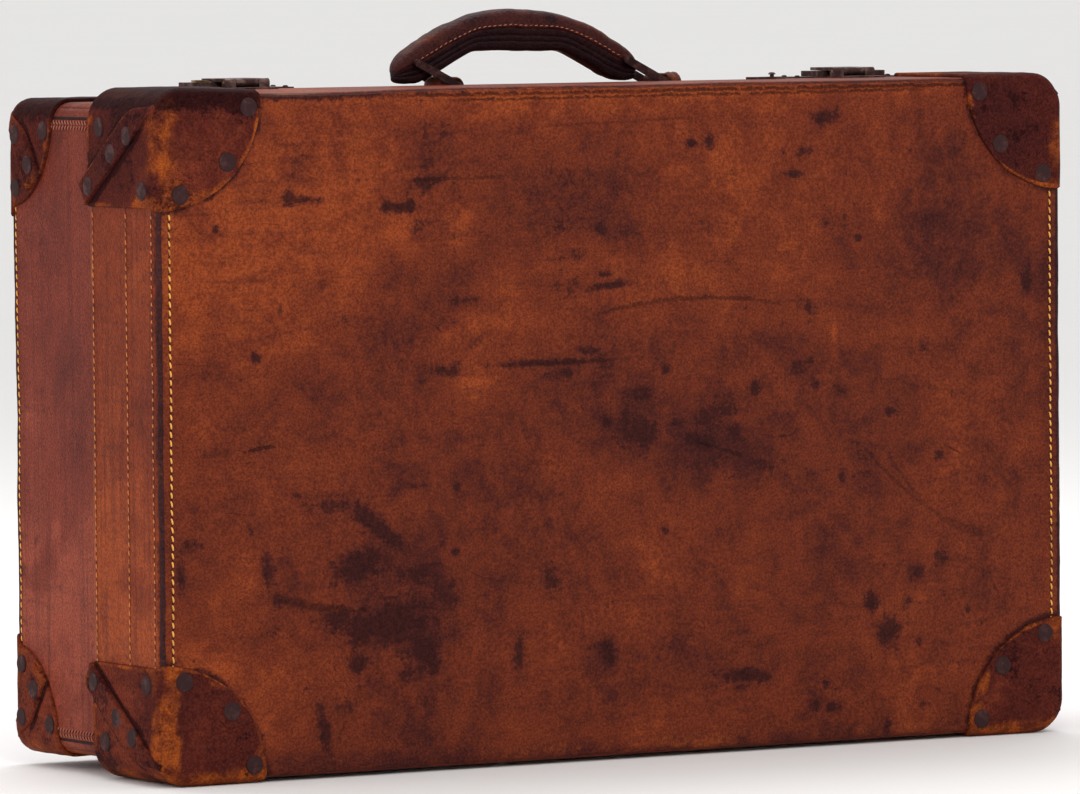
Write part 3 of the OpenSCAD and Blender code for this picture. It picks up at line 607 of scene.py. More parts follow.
def face_panel(name, shell, node, marked, pitch):
    """The big cowhide panel of a shell, its edges turned down to the welt."""
    xs = steps(-shell.reach, shell.reach, pitch)
    zs = steps(mid_z - shell.half_h, mid_z + shell.half_h, pitch)
    points, stain, rub, shade, bloom = [], [], [], [], []
    for z in zs:
        for x in xs:
            points.append(shell.place(x, z, 0))
            edge = min(shell.reach - abs(x), shell.half_h - abs(z - mid_z))
            worn = 0.3 * bell(edge - 6 * MM, 7 * MM)
            rub.append(worn * (0.6 + ripple((x, 0.1, z), 0.09)))
            if marked:
                # A dark line just outside each corner cap's edge is painted shadow of the cap; it joins the stains
                # in the same mark.
                lobe = math.hypot(shell.reach - abs(x), shell.half_h - abs(z - mid_z)) - LOBE_R
                cap_edge_shadow = bell(lobe - 0.6 * MM, 2.4 * MM) * (0.62 + 0.8 * ripple((x, 6.0, z), 0.03))
                soil_and_shade = max(spots(FACE_STAINS_AND_SHADE, x, z), cap_edge_shadow * (1 if x > 0 else 0.75))
                stain.append(soil_and_shade + 0.24 * bell(edge, 2.5 * MM))
                shade.append(spots(FACE_SHADES, x, z))
                bloom.append(spots(FACE_BLOOMS, x, z))
            else:
                stain.append(0.6 * max(0.0, ripple((x, 9.0, z), 0.1)) + 0.24 * bell(edge, 2.5 * MM))
                shade.append(0.5 + 0.9 * ripple((x, 4.0, z), 0.14))
                bloom.append(0.6 * max(0.0, ripple((x, 2.0, z), 0.12)))
    soup = Soup().add(points, grid_faces(len(zs), len(xs), flip=shell.out > 0), stain, rub)
    piece = soup.piece(name, hides["front" if marked else "back"], shell.body, "hide", [node])
    mark(piece, "shade", shade)
    mark(piece, "bloom", bloom)
    return thick(piece, LEATHER_T)


def rim_panel(shell, side, node, hide, slot_name):
    """One side's strip of cowhide, from the middle of one round corner to the middle of the next."""
    long_way = side in ("top", "bottom")
    way = 1 if side in ("top", "right") else -1
    half = shell.reach if long_way else shell.half_h
    depth = shell.depth + (3 * MM if shell is base else 0)
    along, across = steps(-half, half, 4 * MM), steps(0, depth, 4 * MM)
    points, stain, rub, bloom = [], [], [], []
    # The lid's hide is turned over the edge of its boards
    turned = [0.6 * MM, 2.4 * MM, 5.4 * MM] if shell is lid else []
    for a in along:
        if long_way:
            x, z = a, mid_z + way * shell.half_h
        else:
            x, z = way * shell.reach, mid_z + a
        for d in across:
            points.append(shell.place(x, z, d))
            free = shell.depth - d
            stain.append(0.5 * bell(d, 6 * MM) + 0.25 * max(0.0, ripple((a, d, way + shell.out), 0.06)))
            rub.append(0.5 * bell(free, 5 * MM) * (0.4 + abs(ripple((a, 0, way), 0.03))))
            scuffed = 0.0 if long_way else bell(a + half - 110 * MM, 55 * MM)
            bloom.append(scuffed * (0.9 + 1.2 * ripple((a, d, way), 0.03)))
        for inset in turned:
            points.append(shell.place(x, z, depth) - inset * shell.normal(x, z, depth) + Vector((0, 0.3 * MM, 0)))
            stain.append(0.35)
            rub.append(0.15)
            bloom.append(0.0)
    flip = (way > 0) == long_way
    faces = grid_faces(len(along), len(across) + len(turned), flip=flip != (shell.out > 0))
    piece = Soup().add(points, faces, stain, rub).piece(node + "_skin", hide, shell.body, slot_name, [node])
    mark(piece, "bloom", bloom)
    return thick(piece, LEATHER_T)


def rim_loop(shell, pitch):
    """Sharp places round the rim, each side with its round corners."""
    flat_u, flat_w = shell.reach - shell.corner_r, shell.half_h - shell.corner_r
    top, end = shell.half_h, shell.reach
    places = []
    for x in steps(-flat_u, flat_u, pitch)[:-1]:
        places.append((x, mid_z + top))
    r = shell.corner_r
    corner = [t * 2 * r for t in steps(0, 1, 0.12)[:-1]]
    places += [(flat_u + min(a, r), mid_z + top - max(0.0, a - r)) for a in corner]
    for z in steps(flat_w, -flat_w, pitch)[:-1]:
        places.append((end, mid_z + z))
    places += [(end - max(0.0, a - r), mid_z - flat_w - min(a, r)) for a in corner]
    return places + [(-x, 2 * mid_z - z) for x, z in places]


def welt(shell, node):
    """Piping round the edge of the big face."""
    radius, sides = 2.1 * MM, 8
    places = rim_loop(shell, 5 * MM)
    centres = []
    for x, z in places:
        # It shows along the two ends. Along the top and the bottom the hide is pulled over it
        upright = smooth((shell.half_h - 40 * MM - abs(z - mid_z)) / (20 * MM))
        on_edge, _ = shell.sharp(x, z, 0, (-1.1 - 4.4 * (1 - upright)) * MM)
        centres.append(on_edge + shell.warp(on_edge))
    rings = []
    for i, centre in enumerate(centres):
        ahead = (centres[(i + 1) % len(centres)] - centres[i - 1]).normalized()
        first = Vector((0, 1, 0))
        second = ahead.cross(first).normalized()
        swell = radius * (1 + 0.12 * ripple(centre, 0.012))
        rings += [centre + swell * (cos_a * first + sin_a * second) for cos_a, sin_a in around(sides)]
    faces = [tuple(i % len(rings) for i in face) for face in grid_faces(len(centres) + 1, sides, closed=True)]
    soup = Soup().add(rings, faces, 0.1, [0.1 + 0.5 * ripple(p, 0.03) for p in rings])
    soup.piece(node + "_piping", hides["welt"], shell.body, "welt_hide", [node])


# ---------- rivets ----------


def dome(soup, foot, normal, radius, height, rub=0.0):
    """A low domed head with a rounded edge, slightly off true."""
    normal = (normal + 0.04 * noise.random_vector()).normalized()
    first = normal.orthogonal().normalized()
    second = normal.cross(first)
    profile = [(1.0, -0.25), (1.0, 0.4), (0.97, 0.72), (0.9, 0.92), (0.8, 0.9), (0.5, 0.93), (0.2, 1.0)]
    sides = 20
    points = []
    for share, lift in profile:
        for cos_a, sin_a in around(sides):
            out = share * radius * (1 + 0.02 * noise.random())
            points.append(foot + out * (cos_a * first + sin_a * second) + lift * height * normal)
    faces = grid_faces(len(profile), sides, closed=True)
    points.append(foot + 0.98 * height * normal)
    tip, last = len(points) - 1, (len(profile) - 1) * sides
    faces += [(last + k, last + (k + 1) % sides, tip) for k in range(sides)]
    faces.append(tuple(range(sides))[::-1])
    soup.add(points, faces, 0.0, rub)


# ---------- corner caps ----------


class CapForm:
    """One corner cap: its reach on the big face and on the rim, and the rivets and pleat of its end flap. Flap
    places are (distance in from the big face, distance in from the top or bottom)."""

    def __init__(self, shell, flap_h, flap_d, round_flap, loose, held, pleat):
        self.shell, self.flap_h, self.flap_d, self.round_flap = shell, flap_h, flap_d, round_flap
        self.loose, self.held, self.pleat = loose, held, pleat


LOBE_TURNS = [math.radians(a) for a in (8, 42, 77)]
LOBE_RIVETS = [(65 * MM * math.cos(turn), 65 * MM * math.sin(turn)) for turn in LOBE_TURNS]
LID_CAP = CapForm(
    lid, 72 * MM, lid.depth, False,
    loose=[(16 * MM, 61 * MM), (71 * MM, 22 * MM)],
    held=[(32 * MM, 27 * MM), (53 * MM, 38 * MM), (83 * MM, 59 * MM)],
    pleat=(math.radians(35), 8 * MM, 112 * MM, 8.5 * MM),
)
BASE_CAP = CapForm(
    base, 67 * MM, 56 * MM, True,
    loose=[(8.5 * MM, 55 * MM), (46 * MM, 18 * MM)],
    held=[(11 * MM, 21 * MM), (28 * MM, 40 * MM)],
    pleat=(math.radians(56), 4 * MM, 62 * MM, 8.5 * MM),
)


def edge_lift(distance):
    """Height of a cap's leather at a distance in from its cut edge."""
    t = min(1.0, max(0.0, distance) / (1.5 * MM))
    return cap_t * math.sqrt(1 - (1 - t) ** 2)


def dimples(a, b, rivets, width):
    """How far a place lies in the dimples round some rivets: 1 or more at a rivet, 0 away from them."""
    return sum(bell(math.hypot(a - x, b - y), width) for x, y in rivets)


def to_disc(u, v):
    """A unit square's point on a quarter disc."""
    return u * math.sqrt(1 - v * v / 2), v * math.sqrt(1 - u * u / 2)


def cap_steps(about):
    """0 to 1, closer together at 1, where the cut edge rolls over."""
    return steps(0, 0.955, about) + [0.972, 0.983, 0.991, 0.996, 1.0]


def pleat_shadow(form, d, drop):
    """The painted shadow beside a pleat, 0 to 1, at a place on the end flap: strong along one edge, fainter along
    the other.
    """
    lean, start, length, half_w = form.pleat
    along = d * math.cos(lean) + drop * math.sin(lean)
    across = drop * math.cos(lean) - d * math.sin(lean)
    ends = smooth((along - start - 8 * MM) / (20 * MM)) * smooth((length - along) / (6 * MM))
    across *= 1 if form.shell is lid else -1
    return ends * max(bell(across - half_w - 1 * MM, 2.4 * MM), 0.6 * bell(across + half_w + 0.6 * MM, 1.5 * MM))


def corner_cap(form, sx, sz, name):
    shell = form.shell
    corner_x, corner_z = sx * shell.reach, mid_z + sz * shell.half_h
    seed = Vector((sx * 2.0, shell.out * 3.0, sz * 5.0))

    def on_face(u, v):
        a, b = to_disc(u, v)
        a, b = a * LOBE_R, b * LOBE_R
        x, z = corner_x - sx * a, corner_z - sz * b
        return x, z, 0.0, (1 - max(u, v)) * LOBE_R, dimples(a, b, LOBE_RIVETS, 8 * MM)

    def flap(share, w):
        """A flap's place: in from the big face, in from the corner, and how long the flap is there."""
        a, b = to_disc(w, share) if form.round_flap else (w, share)
        length = form.flap_h + (LOBE_R - form.flap_h) * (1 - smooth(w * form.flap_d / (10 * MM)))
        return a * form.flap_d, b * length, length

    def on_end(v, w):
        d, drop, height = flap(v, w)
        edge = (1 - max(v, w)) * height
        return corner_x, corner_z - sz * drop, d, edge, dimples(d, drop, form.loose + form.held, 8 * MM)

    def on_side(u, w):
        d, inset, length = flap(u, w)
        return corner_x - sx * inset, corner_z, d, (1 - max(u, w)) * length, 0.0

    ts = cap_steps(0.042)
    n = len(ts)
    found, points, inner, stain, rub, bloom, faces = {}, [], [], [], [], [], []
    for patch in (on_face, on_end, on_side):
        index = []
        for a in ts:
            for b in ts:
                x, z, d, edge, dimple = patch(a, b)
                key = (round(x, 6), round(z, 6), round(d, 6))
                if key not in found:
                    wave = 0.3 * MM * ripple(Vector((x, d, z)) + seed, 0.022) if edge > 2 * MM else 0.0
                    lift = edge_lift(edge) + wave - 0.55 * MM * min(1.0, dimple)
                    point = shell.place(x, z, d, max(0.0, lift))
                    found[key] = len(points)
                    points.append(point)
                    inner.append(point if edge <= 1e-7 else shell.place(x, z, d, -0.2 * MM))
                    # Wear on the rolled edges, most of it on the left where the case is knocked about
                    inward = d if patch is on_end else shell.reach - abs(x)
                    upright = bell(inward - 4 * MM, (9 + 5 * ripple(point + seed, 0.03)) * MM)
                    level = bell(shell.half_h - abs(z - mid_z), 7 * MM) * (0.85 if sz < 0 else 0.2)
                    knocks = max(upright * (0.9 if sx < 0 else 0.5), level) * (0.8 + 0.9 * ripple(point, 0.03))
                    rim = 0.9 * bell(edge - 1.4 * MM, 1.6 * MM) * (0.75 + 1.4 * ripple(point + seed, 0.02))
                    rim = max(rim, 1.9 * bell(edge - 4 * MM, 5 * MM) * ripple(point - 2 * seed, 0.024))
                    rub.append(max(knocks, rim) * (1 if shell is lid else 0.6))
                    # Painted shade, added to the stain mark: a dark band along the top of the top left caps, and
                    # the shadow beside the pleat on each end flap.
                    painted_shade = bell(shell.half_h - abs(z - mid_z), 9 * MM) if sx < 0 < sz else 0.0
                    if patch is on_end:
                        painted_shade = max(painted_shade, pleat_shadow(form, d, abs(z - corner_z)))
                    stain.append(0.12 + 0.45 * ripple(point - seed, 0.035) + 1.5 * painted_shade)
                    on_rim = 0.35 if shell is lid else 0.95
                    bloom.append(on_rim * smooth((d - 4 * MM) / (12 * MM)) + 0.3 * ripple(point + 2 * seed, 0.05))
                index.append(found[key])
        for face in grid_faces(n, n):
            corners = tuple(dict.fromkeys(index[i] for i in face))
            if len(corners) > 2:
                faces.append(corners)
    soup = Soup()
    both, twin = list(points), {}
    for i, (top_point, low_point) in enumerate(zip(points, inner)):
        if (top_point - low_point).length > 1e-7:
            twin[i] = len(both)
            both.append(low_point)
        else:
            twin[i] = i
    under = [tuple(twin[i] for i in face)[::-1] for face in faces]
    extra = len(both) - len(points)
    soup.add(both, faces + under, stain + [0.3] * extra, rub + [0.0] * extra)
    add_pleat(soup, form, sx, sz, seed)
    piece = soup.piece(name + "_leather", hides["cap"], shell.body, "cap_hide", [name])
    bloom += [0.0] * extra
    mark(piece, "bloom", bloom + [0.3 if shell is lid else 0.9] * (len(soup.points) - len(bloom)))
    tidy_normals(piece)
    return piece


def add_pleat(soup, form, sx, sz, seed):
    """The diagonal fold on the end flap, a flat tongue that stands on the cap's leather."""
    shell = form.shell
    lean, start, length, half_w = form.pleat
    corner_z = mid_z + sz * shell.half_h
    along = [start, start + 0.4 * MM, start + 1.2 * MM]
    along += steps(start + 4 * MM, length - 4 * MM, 4 * MM) + [length - 1.2 * MM, length - 0.4 * MM, length]
    across = [-1, -0.97, -0.9, -0.75, -0.4, 0, 0.4, 0.75, 0.9, 0.97, 1]
    points, stain, rub, faces = [], [], [], []
    n, m = len(along), len(across)
    for layer in (0, 1):
        for i, a in enumerate(along):
            for j, s in enumerate(across):
                grown = smooth((a - start) / (26 * MM))
                wide = half_w * (1 + 0.08 * ripple((a, s, seed.x), 0.03))
                shift = (1 - (1 - s) * (0.35 + 0.65 * grown)) * wide
                d = a * math.cos(lean) - shift * math.sin(lean)
                drop = a * math.sin(lean) + shift * math.cos(lean)
                edge = min(a - start, length - a, (1 - abs(s)) * wide)
                dimple = dimples(d, drop, form.held, 7 * MM)
                rise = 2.0 * MM * math.sqrt(1 - (1 - min(1.0, max(0.0, edge) / (1.1 * MM))) ** 2)
                rise *= 0.15 + 0.85 * grown
                lift = cap_t - 0.7 * MM + (0.7 * MM + rise - 0.5 * MM * min(1, dimple)) * layer
                if layer:
                    lift += 0.25 * MM * ripple((d, drop, seed.y), 0.02)
                    lift += 0.8 * MM * smooth(s) * grown * max(0, 1 - dimple)
                p = shell.place(sx * shell.reach, corner_z - sz * max(1 * MM, drop), max(0.5 * MM, d), lift)
                points.append(p)
                stain.append(0.28 + 0.3 * ripple(p + seed, 0.03))
                outer = s if shell is lid else -s
                worn = 0.75 if i > n - 5 else 0.6 if outer < -0.85 else 0.1 if outer > 0.85 else 0.0
                rub.append(worn * layer * (0.8 + 0.8 * ripple(p, 0.02)))
    for low in grid_faces(n, m):
        faces += [tuple(n * m + i for i in low), low[::-1]]
    walls = [(i * m + j, (i + 1) * m + j) for i in range(n - 1) for j in (0, m - 1)]
    walls += [(i * m + j, i * m + j + 1) for j in range(m - 1) for i in (0, n - 1)]
    faces += [(a, b, n * m + b, n * m + a) for a, b in walls]
    soup.add(points, faces, stain, rub)


def tidy_normals(piece):
    """Turns every face outward."""
    bm = bmesh.new()
    bm.from_mesh(piece.data)
    bmesh.ops.recalc_face_normals(bm, faces=bm.faces)
    bm.to_mesh(piece.data)
    bm.free()


def cap_rivet_heads(form, node):
    soup = Soup()
    shell = form.shell
    for sx in (-1, 1):
        for sz in (-1, 1):
            corner_x, corner_z = sx * shell.reach, mid_z + sz * shell.half_h
            for a, b in LOBE_RIVETS:
                foot = shell.place(corner_x - sx * a, corner_z - sz * b, 0, cap_t - 0.5 * MM)
                dome(soup, foot, Vector((0, shell.out, 0)), RIVET_R, HEAD_H)
            for spots_there, rise in ((form.loose, -0.5 * MM), (form.held, 1.3 * MM)):
                for d, drop in spots_there:
                    foot = shell.place(corner_x, corner_z - sz * drop, d, cap_t + rise)
                    dome(soup, foot, Vector((sx, 0, 0)), RIVET_R, HEAD_H)
    return soup.piece(node + "_heads", rivet_metal, shell.body, "rivet_metal", [node])


# ---------- sewing ----------


def with_sides(points, normals):
    """Each point of a line on a skin, with its normal and the direction across the line."""
    for i, (p, n) in enumerate(zip(points, normals)):
        ahead = (points[min(i + 1, len(points) - 1)] - points[max(i - 1, 0)]).normalized()
        yield p, n, n.cross(ahead).normalized()


def stitch_row(threads, grooves, points, normals, pitch, length, thick_t, slant=0.0):
    """Stitches along a line of points on a skin, and the pricked groove under them."""
    travelled, row = 0.0, []
    for a, b, n in zip(points, points[1:], normals):
        step_l = (b - a).length
        while travelled <= step_l:
            row.append((a.lerp(b, travelled / step_l), (b - a).normalized(), n))
            travelled += pitch
        travelled -= step_l
    for centre, ahead, n in row:
        side = n.cross(ahead).normalized()
        turn = slant + 0.1 * noise.random()
        ahead = (ahead * math.cos(turn) + side * math.sin(turn)).normalized()
        side = n.cross(ahead).normalized()
        size = length * (0.94 + 0.12 * noise.random())
        ring, places = 6, []
        for t in (-0.42, -0.2, 0.0, 0.2, 0.42):
            swell = math.sqrt(1 - (2 * t) ** 2) * 0.5 + 0.5
            arch = 0.35 * thick_t * (1 - (2 * t) ** 2)
            places += [
                centre + ahead * size * t + side * thick_t * 0.5 * swell * cos_a
                + n * (thick_t * 0.42 * swell * sin_a + arch) for cos_a, sin_a in around(ring)
            ]
        faces = grid_faces(5, ring, closed=True)
        for k in range(ring):
            following = (k + 1) % ring
            faces += [(following, k, 5 * ring), (4 * ring + k, 4 * ring + following, 5 * ring + 1)]
        threads.add(places + [centre - ahead * size / 2, centre + ahead * size / 2], faces)
    ribbon, half = [], thick_t * 0.85
    for p, n, side in with_sides(points, normals):
        for s, lift in ((-1, -0.25), (-0.55, 0.07), (0.55, 0.07), (1, -0.25)):
            ribbon.append(p + side * s * half + n * lift * MM)
        ribbon.append(p - n * 0.5 * MM)
    grooves.add(ribbon, tube_faces(len(points), 5, inward=True))


def shell_line(shell, start, end, about=6 * MM):
    """Points and normals from one sharp place (x, z, d) to another."""
    n = max(2, round((Vector(end) - Vector(start)).length / about))
    places = [Vector(start).lerp(Vector(end), i / n) for i in range(n + 1)]
    return [shell.place(*p) for p in places], [shell.normal(*p) for p in places]


def sew_lid():
    threads, faded, grooves = Soup(), Soup(), Soup()
    low, high = mid_z - lid.half_h + LOBE_R - 2 * MM, mid_z + lid.half_h - LOBE_R + 2 * MM
    for sx in (-1, 1):
        x = sx * (lid.reach - 8 * MM)
        line = shell_line(lid, (x, low, 0), (x, high, 0))
        stitch_row(threads, grooves, *line, STITCH_PITCH, 4.1 * MM, 1.35 * MM, 0.16)
        x = sx * lid.reach
        for d, size in ((lid.depth - 3.5 * MM, 3.4 * MM), (41 * MM, 3.4 * MM), (8 * MM, 2.4 * MM)):
            line = shell_line(lid, (x, low, d), (x, high, d))
            stitch_row(faded, grooves, *line, STITCH_PITCH, size, 0.95 * MM, 0.12)
    threads.piece("lid_stitches", linen, "lid", None)
    faded.piece("lid_faded_stitches", soiled_linen, "lid", None)
    grooves.piece("lid_stitch_grooves", hides["groove"], "lid", "welt_hide")


def sew_base():
    threads, faded, grooves = Soup(), Soup(), Soup()
    low, high = mid_z - base.half_h + 60 * MM, mid_z + base.half_h - 60 * MM
    inner = base.depth - 1 * MM
    for sx in (-1, 1):
        for x, d in ((sx * base.reach, 5.5 * MM), (sx * (base.reach - 8 * MM), 0.0)):
            line = shell_line(base, (x, low, d), (x, high, d))
            stitch_row(threads, grooves, *line, STITCH_PITCH, 3.8 * MM, 1.0 * MM, 0.12)
        for sz in (-1, 1):
            for drop, slant in ((12.6 * MM, 0.9), (15.8 * MM, -0.9)):
                z = mid_z + sz * (base.half_h - drop)
                line = shell_line(base, (sx * base.reach, z, 50 * MM), (sx * base.reach, z, inner))
                stitch_row(faded, grooves, *line, 3.8 * MM, 3.6 * MM, 1.3 * MM, slant * sx)
            # The crease where the end panel is folded over the long panel: a low ridge marked dark, painted shade
            # of the fold.
            z = mid_z + sz * (base.half_h - 9.6 * MM)
            line = shell_line(base, (sx * base.reach, z, 50 * MM), (sx * base.reach, z, inner), 3 * MM)
            bead(grooves, *line, 1.0 * MM, 0.2 * MM)
    threads.piece("base_stitches", linen, "base", None)
    faded.piece("base_whip_stitches", hide_thread, "base", None)
    grooves.piece("base_stitch_grooves", hides["groove"], "base", "welt_hide")


def bead(soup, points, normals, half, rise):
    """A low rounded ridge along a line on a skin, marked dark as painted shade of a groove."""
    section, ridge = [(-1.0, -0.6), (-0.7, 0.6), (0.0, 1.0), (0.7, 0.6), (1.0, -0.6)], []
    for p, n, side in with_sides(points, normals):
        ridge += [p + side * (s * half) + n * (t * rise) for s, t in section]
    soup.add(ridge, tube_faces(len(points), len(section), inward=True), 0.9, 0.0)


# ---------- handle ----------

# One side of the grip's section, from its lowest point to its highest: shares of the half width and of the
# height. A cover is wrapped over a stack of leather and sewn above its cut edge.
GRIP_SECTION = [
    (0.0, 0.0), (0.3, 0.0), (0.52, 0.015), (0.66, 0.05), (0.73, 0.1), (0.77, 0.17), (0.78, 0.215), (0.745, 0.228),
    (0.745, 0.238), (0.79, 0.25), (0.82, 0.31), (0.83, 0.352), (0.795, 0.365), (0.795, 0.375), (0.84, 0.388),
    (0.88, 0.45), (0.9, 0.5), (0.905, 0.53), (0.86, 0.545), (0.86, 0.557), (0.985, 0.572), (1.0, 0.6), (1.0, 0.66),
    (0.985, 0.73), (0.94, 0.8), (0.85, 0.87), (0.7, 0.93), (0.5, 0.972), (0.25, 0.993), (0.0, 1.0),
]
SEAM_SHARE = 0.62


def handle_grip():
    low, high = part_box("handle_grip")
    middle_x, middle_y = (low.x + high.x) / 2, (low.y + high.y) / 2
    half_l, half_w, rise = (high.x - low.x) / 2 + 0.6 * MM, (high.y - low.y) / 2, 33.7 * MM
    end_z = high.z - rise
    seed = Vector((4.4, 0.7, 2.9))

    def upper(u):
        return rise * (1 - min(1.0, abs(u) / (half_l + 2 * MM)) ** 2.2)

    def lower(u):
        return 6.4 * MM - 20 * MM * smooth((abs(u) - 28 * MM) / (52 * MM))

    def blunt(u):
        """How full the grip is there: its ends are rounded off."""
        t = max(0.0, abs(u) - (half_l - 9 * MM)) / (9 * MM)
        return math.sqrt(max(0.0, 1 - t ** 2.6))

    def spot(u, side, share_w, share_h):
        top, bottom, full = upper(u), lower(u), blunt(u)
        centre = (top + bottom) / 2 - 1.2 * MM * (1 - full)
        w = centre + (share_h - 0.5) * (top - bottom) * (0.42 + 0.58 * full)
        y = side * share_w * half_w * (0.2 + 0.8 * full)
        p = Vector((u, y, w))
        # Creases where the ends are drawn in round the rings, and the dents of long use
        pinch = bell(abs(u) - 70 * MM, 2.2 * MM) + 0.8 * bell(abs(u) - 61 * MM, 1.8 * MM)
        pinch += 0.6 * bell(abs(u) - 79 * MM, 1.6 * MM)
        shrink = 1 - 0.05 * pinch * (1 if u > 0 else 0.7)
        p.y *= shrink
        p.z = centre + (p.z - centre) * (1 - 0.03 * pinch)
        p += Vector((0, side, 0.7)) * (0.5 * MM * ripple(p * 0.8 + seed, 0.011))
        p.z += 1.0 * MM * ripple((u, 3.3, 0), 0.05)
        return Vector((middle_x, middle_y, end_z)) + p

    ring = [(1, w, h) for w, h in GRIP_SECTION] + [(-1, w, h) for w, h in GRIP_SECTION[-2:0:-1]]
    ends = [half_l * t for t in (1.0, 0.996, 0.988, 0.975, 0.958, 0.94, 0.92)]
    us = [-u for u in ends] + steps(-half_l * 0.9, half_l * 0.9, 2.0 * MM) + ends[::-1]
    points, stain, rub = [], [], []
    for u in us:
        for side, w, h in ring:
            p = spot(u, side, w, h)
            points.append(p)
            # Below the seam the grip is darkened almost to black: painted shade on its underside.
            below = max(0.0, 0.6 - h)
            stain.append(0.1 + 5.0 * below + 0.3 * ripple(p + seed, 0.02))
            rub.append(0.5 * bell(h - 0.95, 0.16) * (0.5 + ripple(p, 0.03)) + 0.3 * bell(h - 0.59, 0.03))
    soup = Soup().add(points, tube_faces(len(us), len(ring)), stain, rub)
    grip = soup.piece("grip", hides["dark"], "handle", "handle_hide", ["handle_grip"])
    tidy_normals(grip)
    threads, grooves = Soup(), Soup()
    for side in (-1, 1):
        line = [spot(u, side, 1.0, SEAM_SHARE) for u in steps(-74 * MM, 76 * MM, 2.5 * MM)]
        normals = [Vector((0, side, 0))] * len(line)
        stitch_row(threads, grooves, line, normals, 3.9 * MM, 2.3 * MM, 0.62 * MM, 0.12)
    threads.piece("grip_stitches", faded_linen, "handle", None)
    grooves.piece("grip_stitch_grooves", hides["groove"], "handle", "handle_hide")


def band_along(soup, path, ups, half_w, thickness, rub_at, end_round=0.0):
    """A flat leather band with rounded edges along a path. ups are the directions its grain side faces."""
    section = [
        (-1.0, 0.0), (-0.985, 0.32), (-0.94, 0.46), (-0.86, 0.5), (-0.5, 0.52), (0.0, 0.53), (0.5, 0.52),
        (0.86, 0.5), (0.94, 0.46), (0.985, 0.32), (1.0, 0.0), (0.97, -0.36), (0.88, -0.5), (0.0, -0.5),
        (-0.88, -0.5), (-0.97, -0.36),
    ]
    points, rub, stain, gone = [], [], [], 0.0
    total = sum((b - a).length for a, b in zip(path, path[1:]))
    for i, (p, up) in enumerate(zip(path, ups)):
        if i:
            gone += (p - path[i - 1]).length
        left = total - gone
        wide = half_w
        if end_round and left < end_round:
            wide = half_w * math.sqrt(max(0.0, 1 - (1 - left / end_round) ** 2)) + 0.05 * MM
        for s, t in section:
            lump = 1 + 0.05 * ripple(p + Vector((s * 0.01, 0.3, t)), 0.02)
            points.append(p + Vector((0, s * wide * lump, 0)) + up * t * thickness)
            rub.append(rub_at(gone) + (0.35 if abs(s) > 0.8 else 0.0) * (0.6 + ripple(p, 0.02)))
            stain.append(0.3 + 0.3 * ripple(p + Vector((s * 0.01, 0.0, 0.0)), 0.012))
    soup.add(points, tube_faces(len(path), len(section)), stain, rub)


CHAPES = ((-1, "handle_chape_left"), (1, "handle_chape_right"))


def chape_pivot(side, name):
    """Where a chape's ring turns along the case, the chape's foot, and its middle line."""
    low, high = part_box(name)
    return (low.x if side > 0 else high.x) + side * 6.5 * MM, low.z, (low.y + high.y) / 2


def handle_chape(side, name):
    """A strap that loops round the ring's bar and is riveted down to the case, with a keeper beside the bar."""
    pivot_x, top, y = chape_pivot(side, name)
    loop_r, layer = 5.2 * MM, 1.6 * MM
    pivot_z = top + 6.5 * MM
    path, ups = [], []

    def add(x, z, up_x, up_z):
        path.append(Vector((pivot_x + side * x, y, z)))
        ups.append(Vector((side * up_x, 0, up_z)).normalized())

    for x in steps(44 * MM, 17 * MM, 3 * MM):
        add(x, top + 2.5 * layer - layer, 0, 1)
    add(13 * MM, top + 1.8 * layer, 0.25, 1)
    add(9.6 * MM, top + 3.4 * MM, 0.6, 1)
    for a in range(40, 271, 15):
        t = math.radians(a)
        add(loop_r * math.cos(t), pivot_z + loop_r * math.sin(t), math.cos(t), math.sin(t))
    for x in steps(4 * MM, 64 * MM, 3 * MM) + [66 * MM, 68 * MM, 69.6 * MM, 70.8 * MM, 71.6 * MM, 72 * MM]:
        add(x, top + layer / 2, 0, -1)
    soup = Soup()
    start = 44 * MM
    band_along(soup, path, ups, 8.6 * MM, layer, lambda s: 0.5 * bell(s - start, 9 * MM), 9 * MM)
    # Keeper: a band knotted round both layers, with a crease between its turns
    middle, points = Vector((pivot_x + side * 10.8 * MM, y, top + 6.7 * MM)), []
    turns = (-1.0, -0.97, -0.85, -0.6, -0.3, -0.12, 0.0, 0.12, 0.3, 0.6, 0.85, 0.97, 1.0)
    for t in turns:
        full = math.sqrt(max(0.0, 1 - abs(t) ** 3)) - 0.16 * bell(t, 0.12) + 0.02
        for cos_a, sin_a in around(24):
            p = Vector((4.8 * MM * t, 10.2 * MM * full * cos_a, 6.2 * MM * full * sin_a))
            points.append(middle + p * (1 + 0.1 * ripple(p + middle, 0.006)))
    soup.add(points, tube_faces(len(turns), 24), 0.0, 0.95)
    piece = soup.piece(name + "_leather", hides["dark"], "base", "handle_hide", [name])
    tidy_normals(piece)


def chape_studs():
    """The two domed rivets of each chape; the one nearer the handle is the larger."""
    soup = Soup()
    for side, name in CHAPES:
        pivot_x, top, y = chape_pivot(side, name)
        for along, radius, height, z in ((26, 6.4, 3.0, 3.0), (58, 4.4, 1.8, 1.5)):
            foot = Vector((pivot_x + side * along * MM, y, top + z * MM))
            dome(soup, foot, Vector((0, 0, 1)), radius * MM, height * MM)
    soup.piece("chape_studs", rivet_metal, "base", "rivet_metal", ["chape_rivets"])


# ---------- build ----------

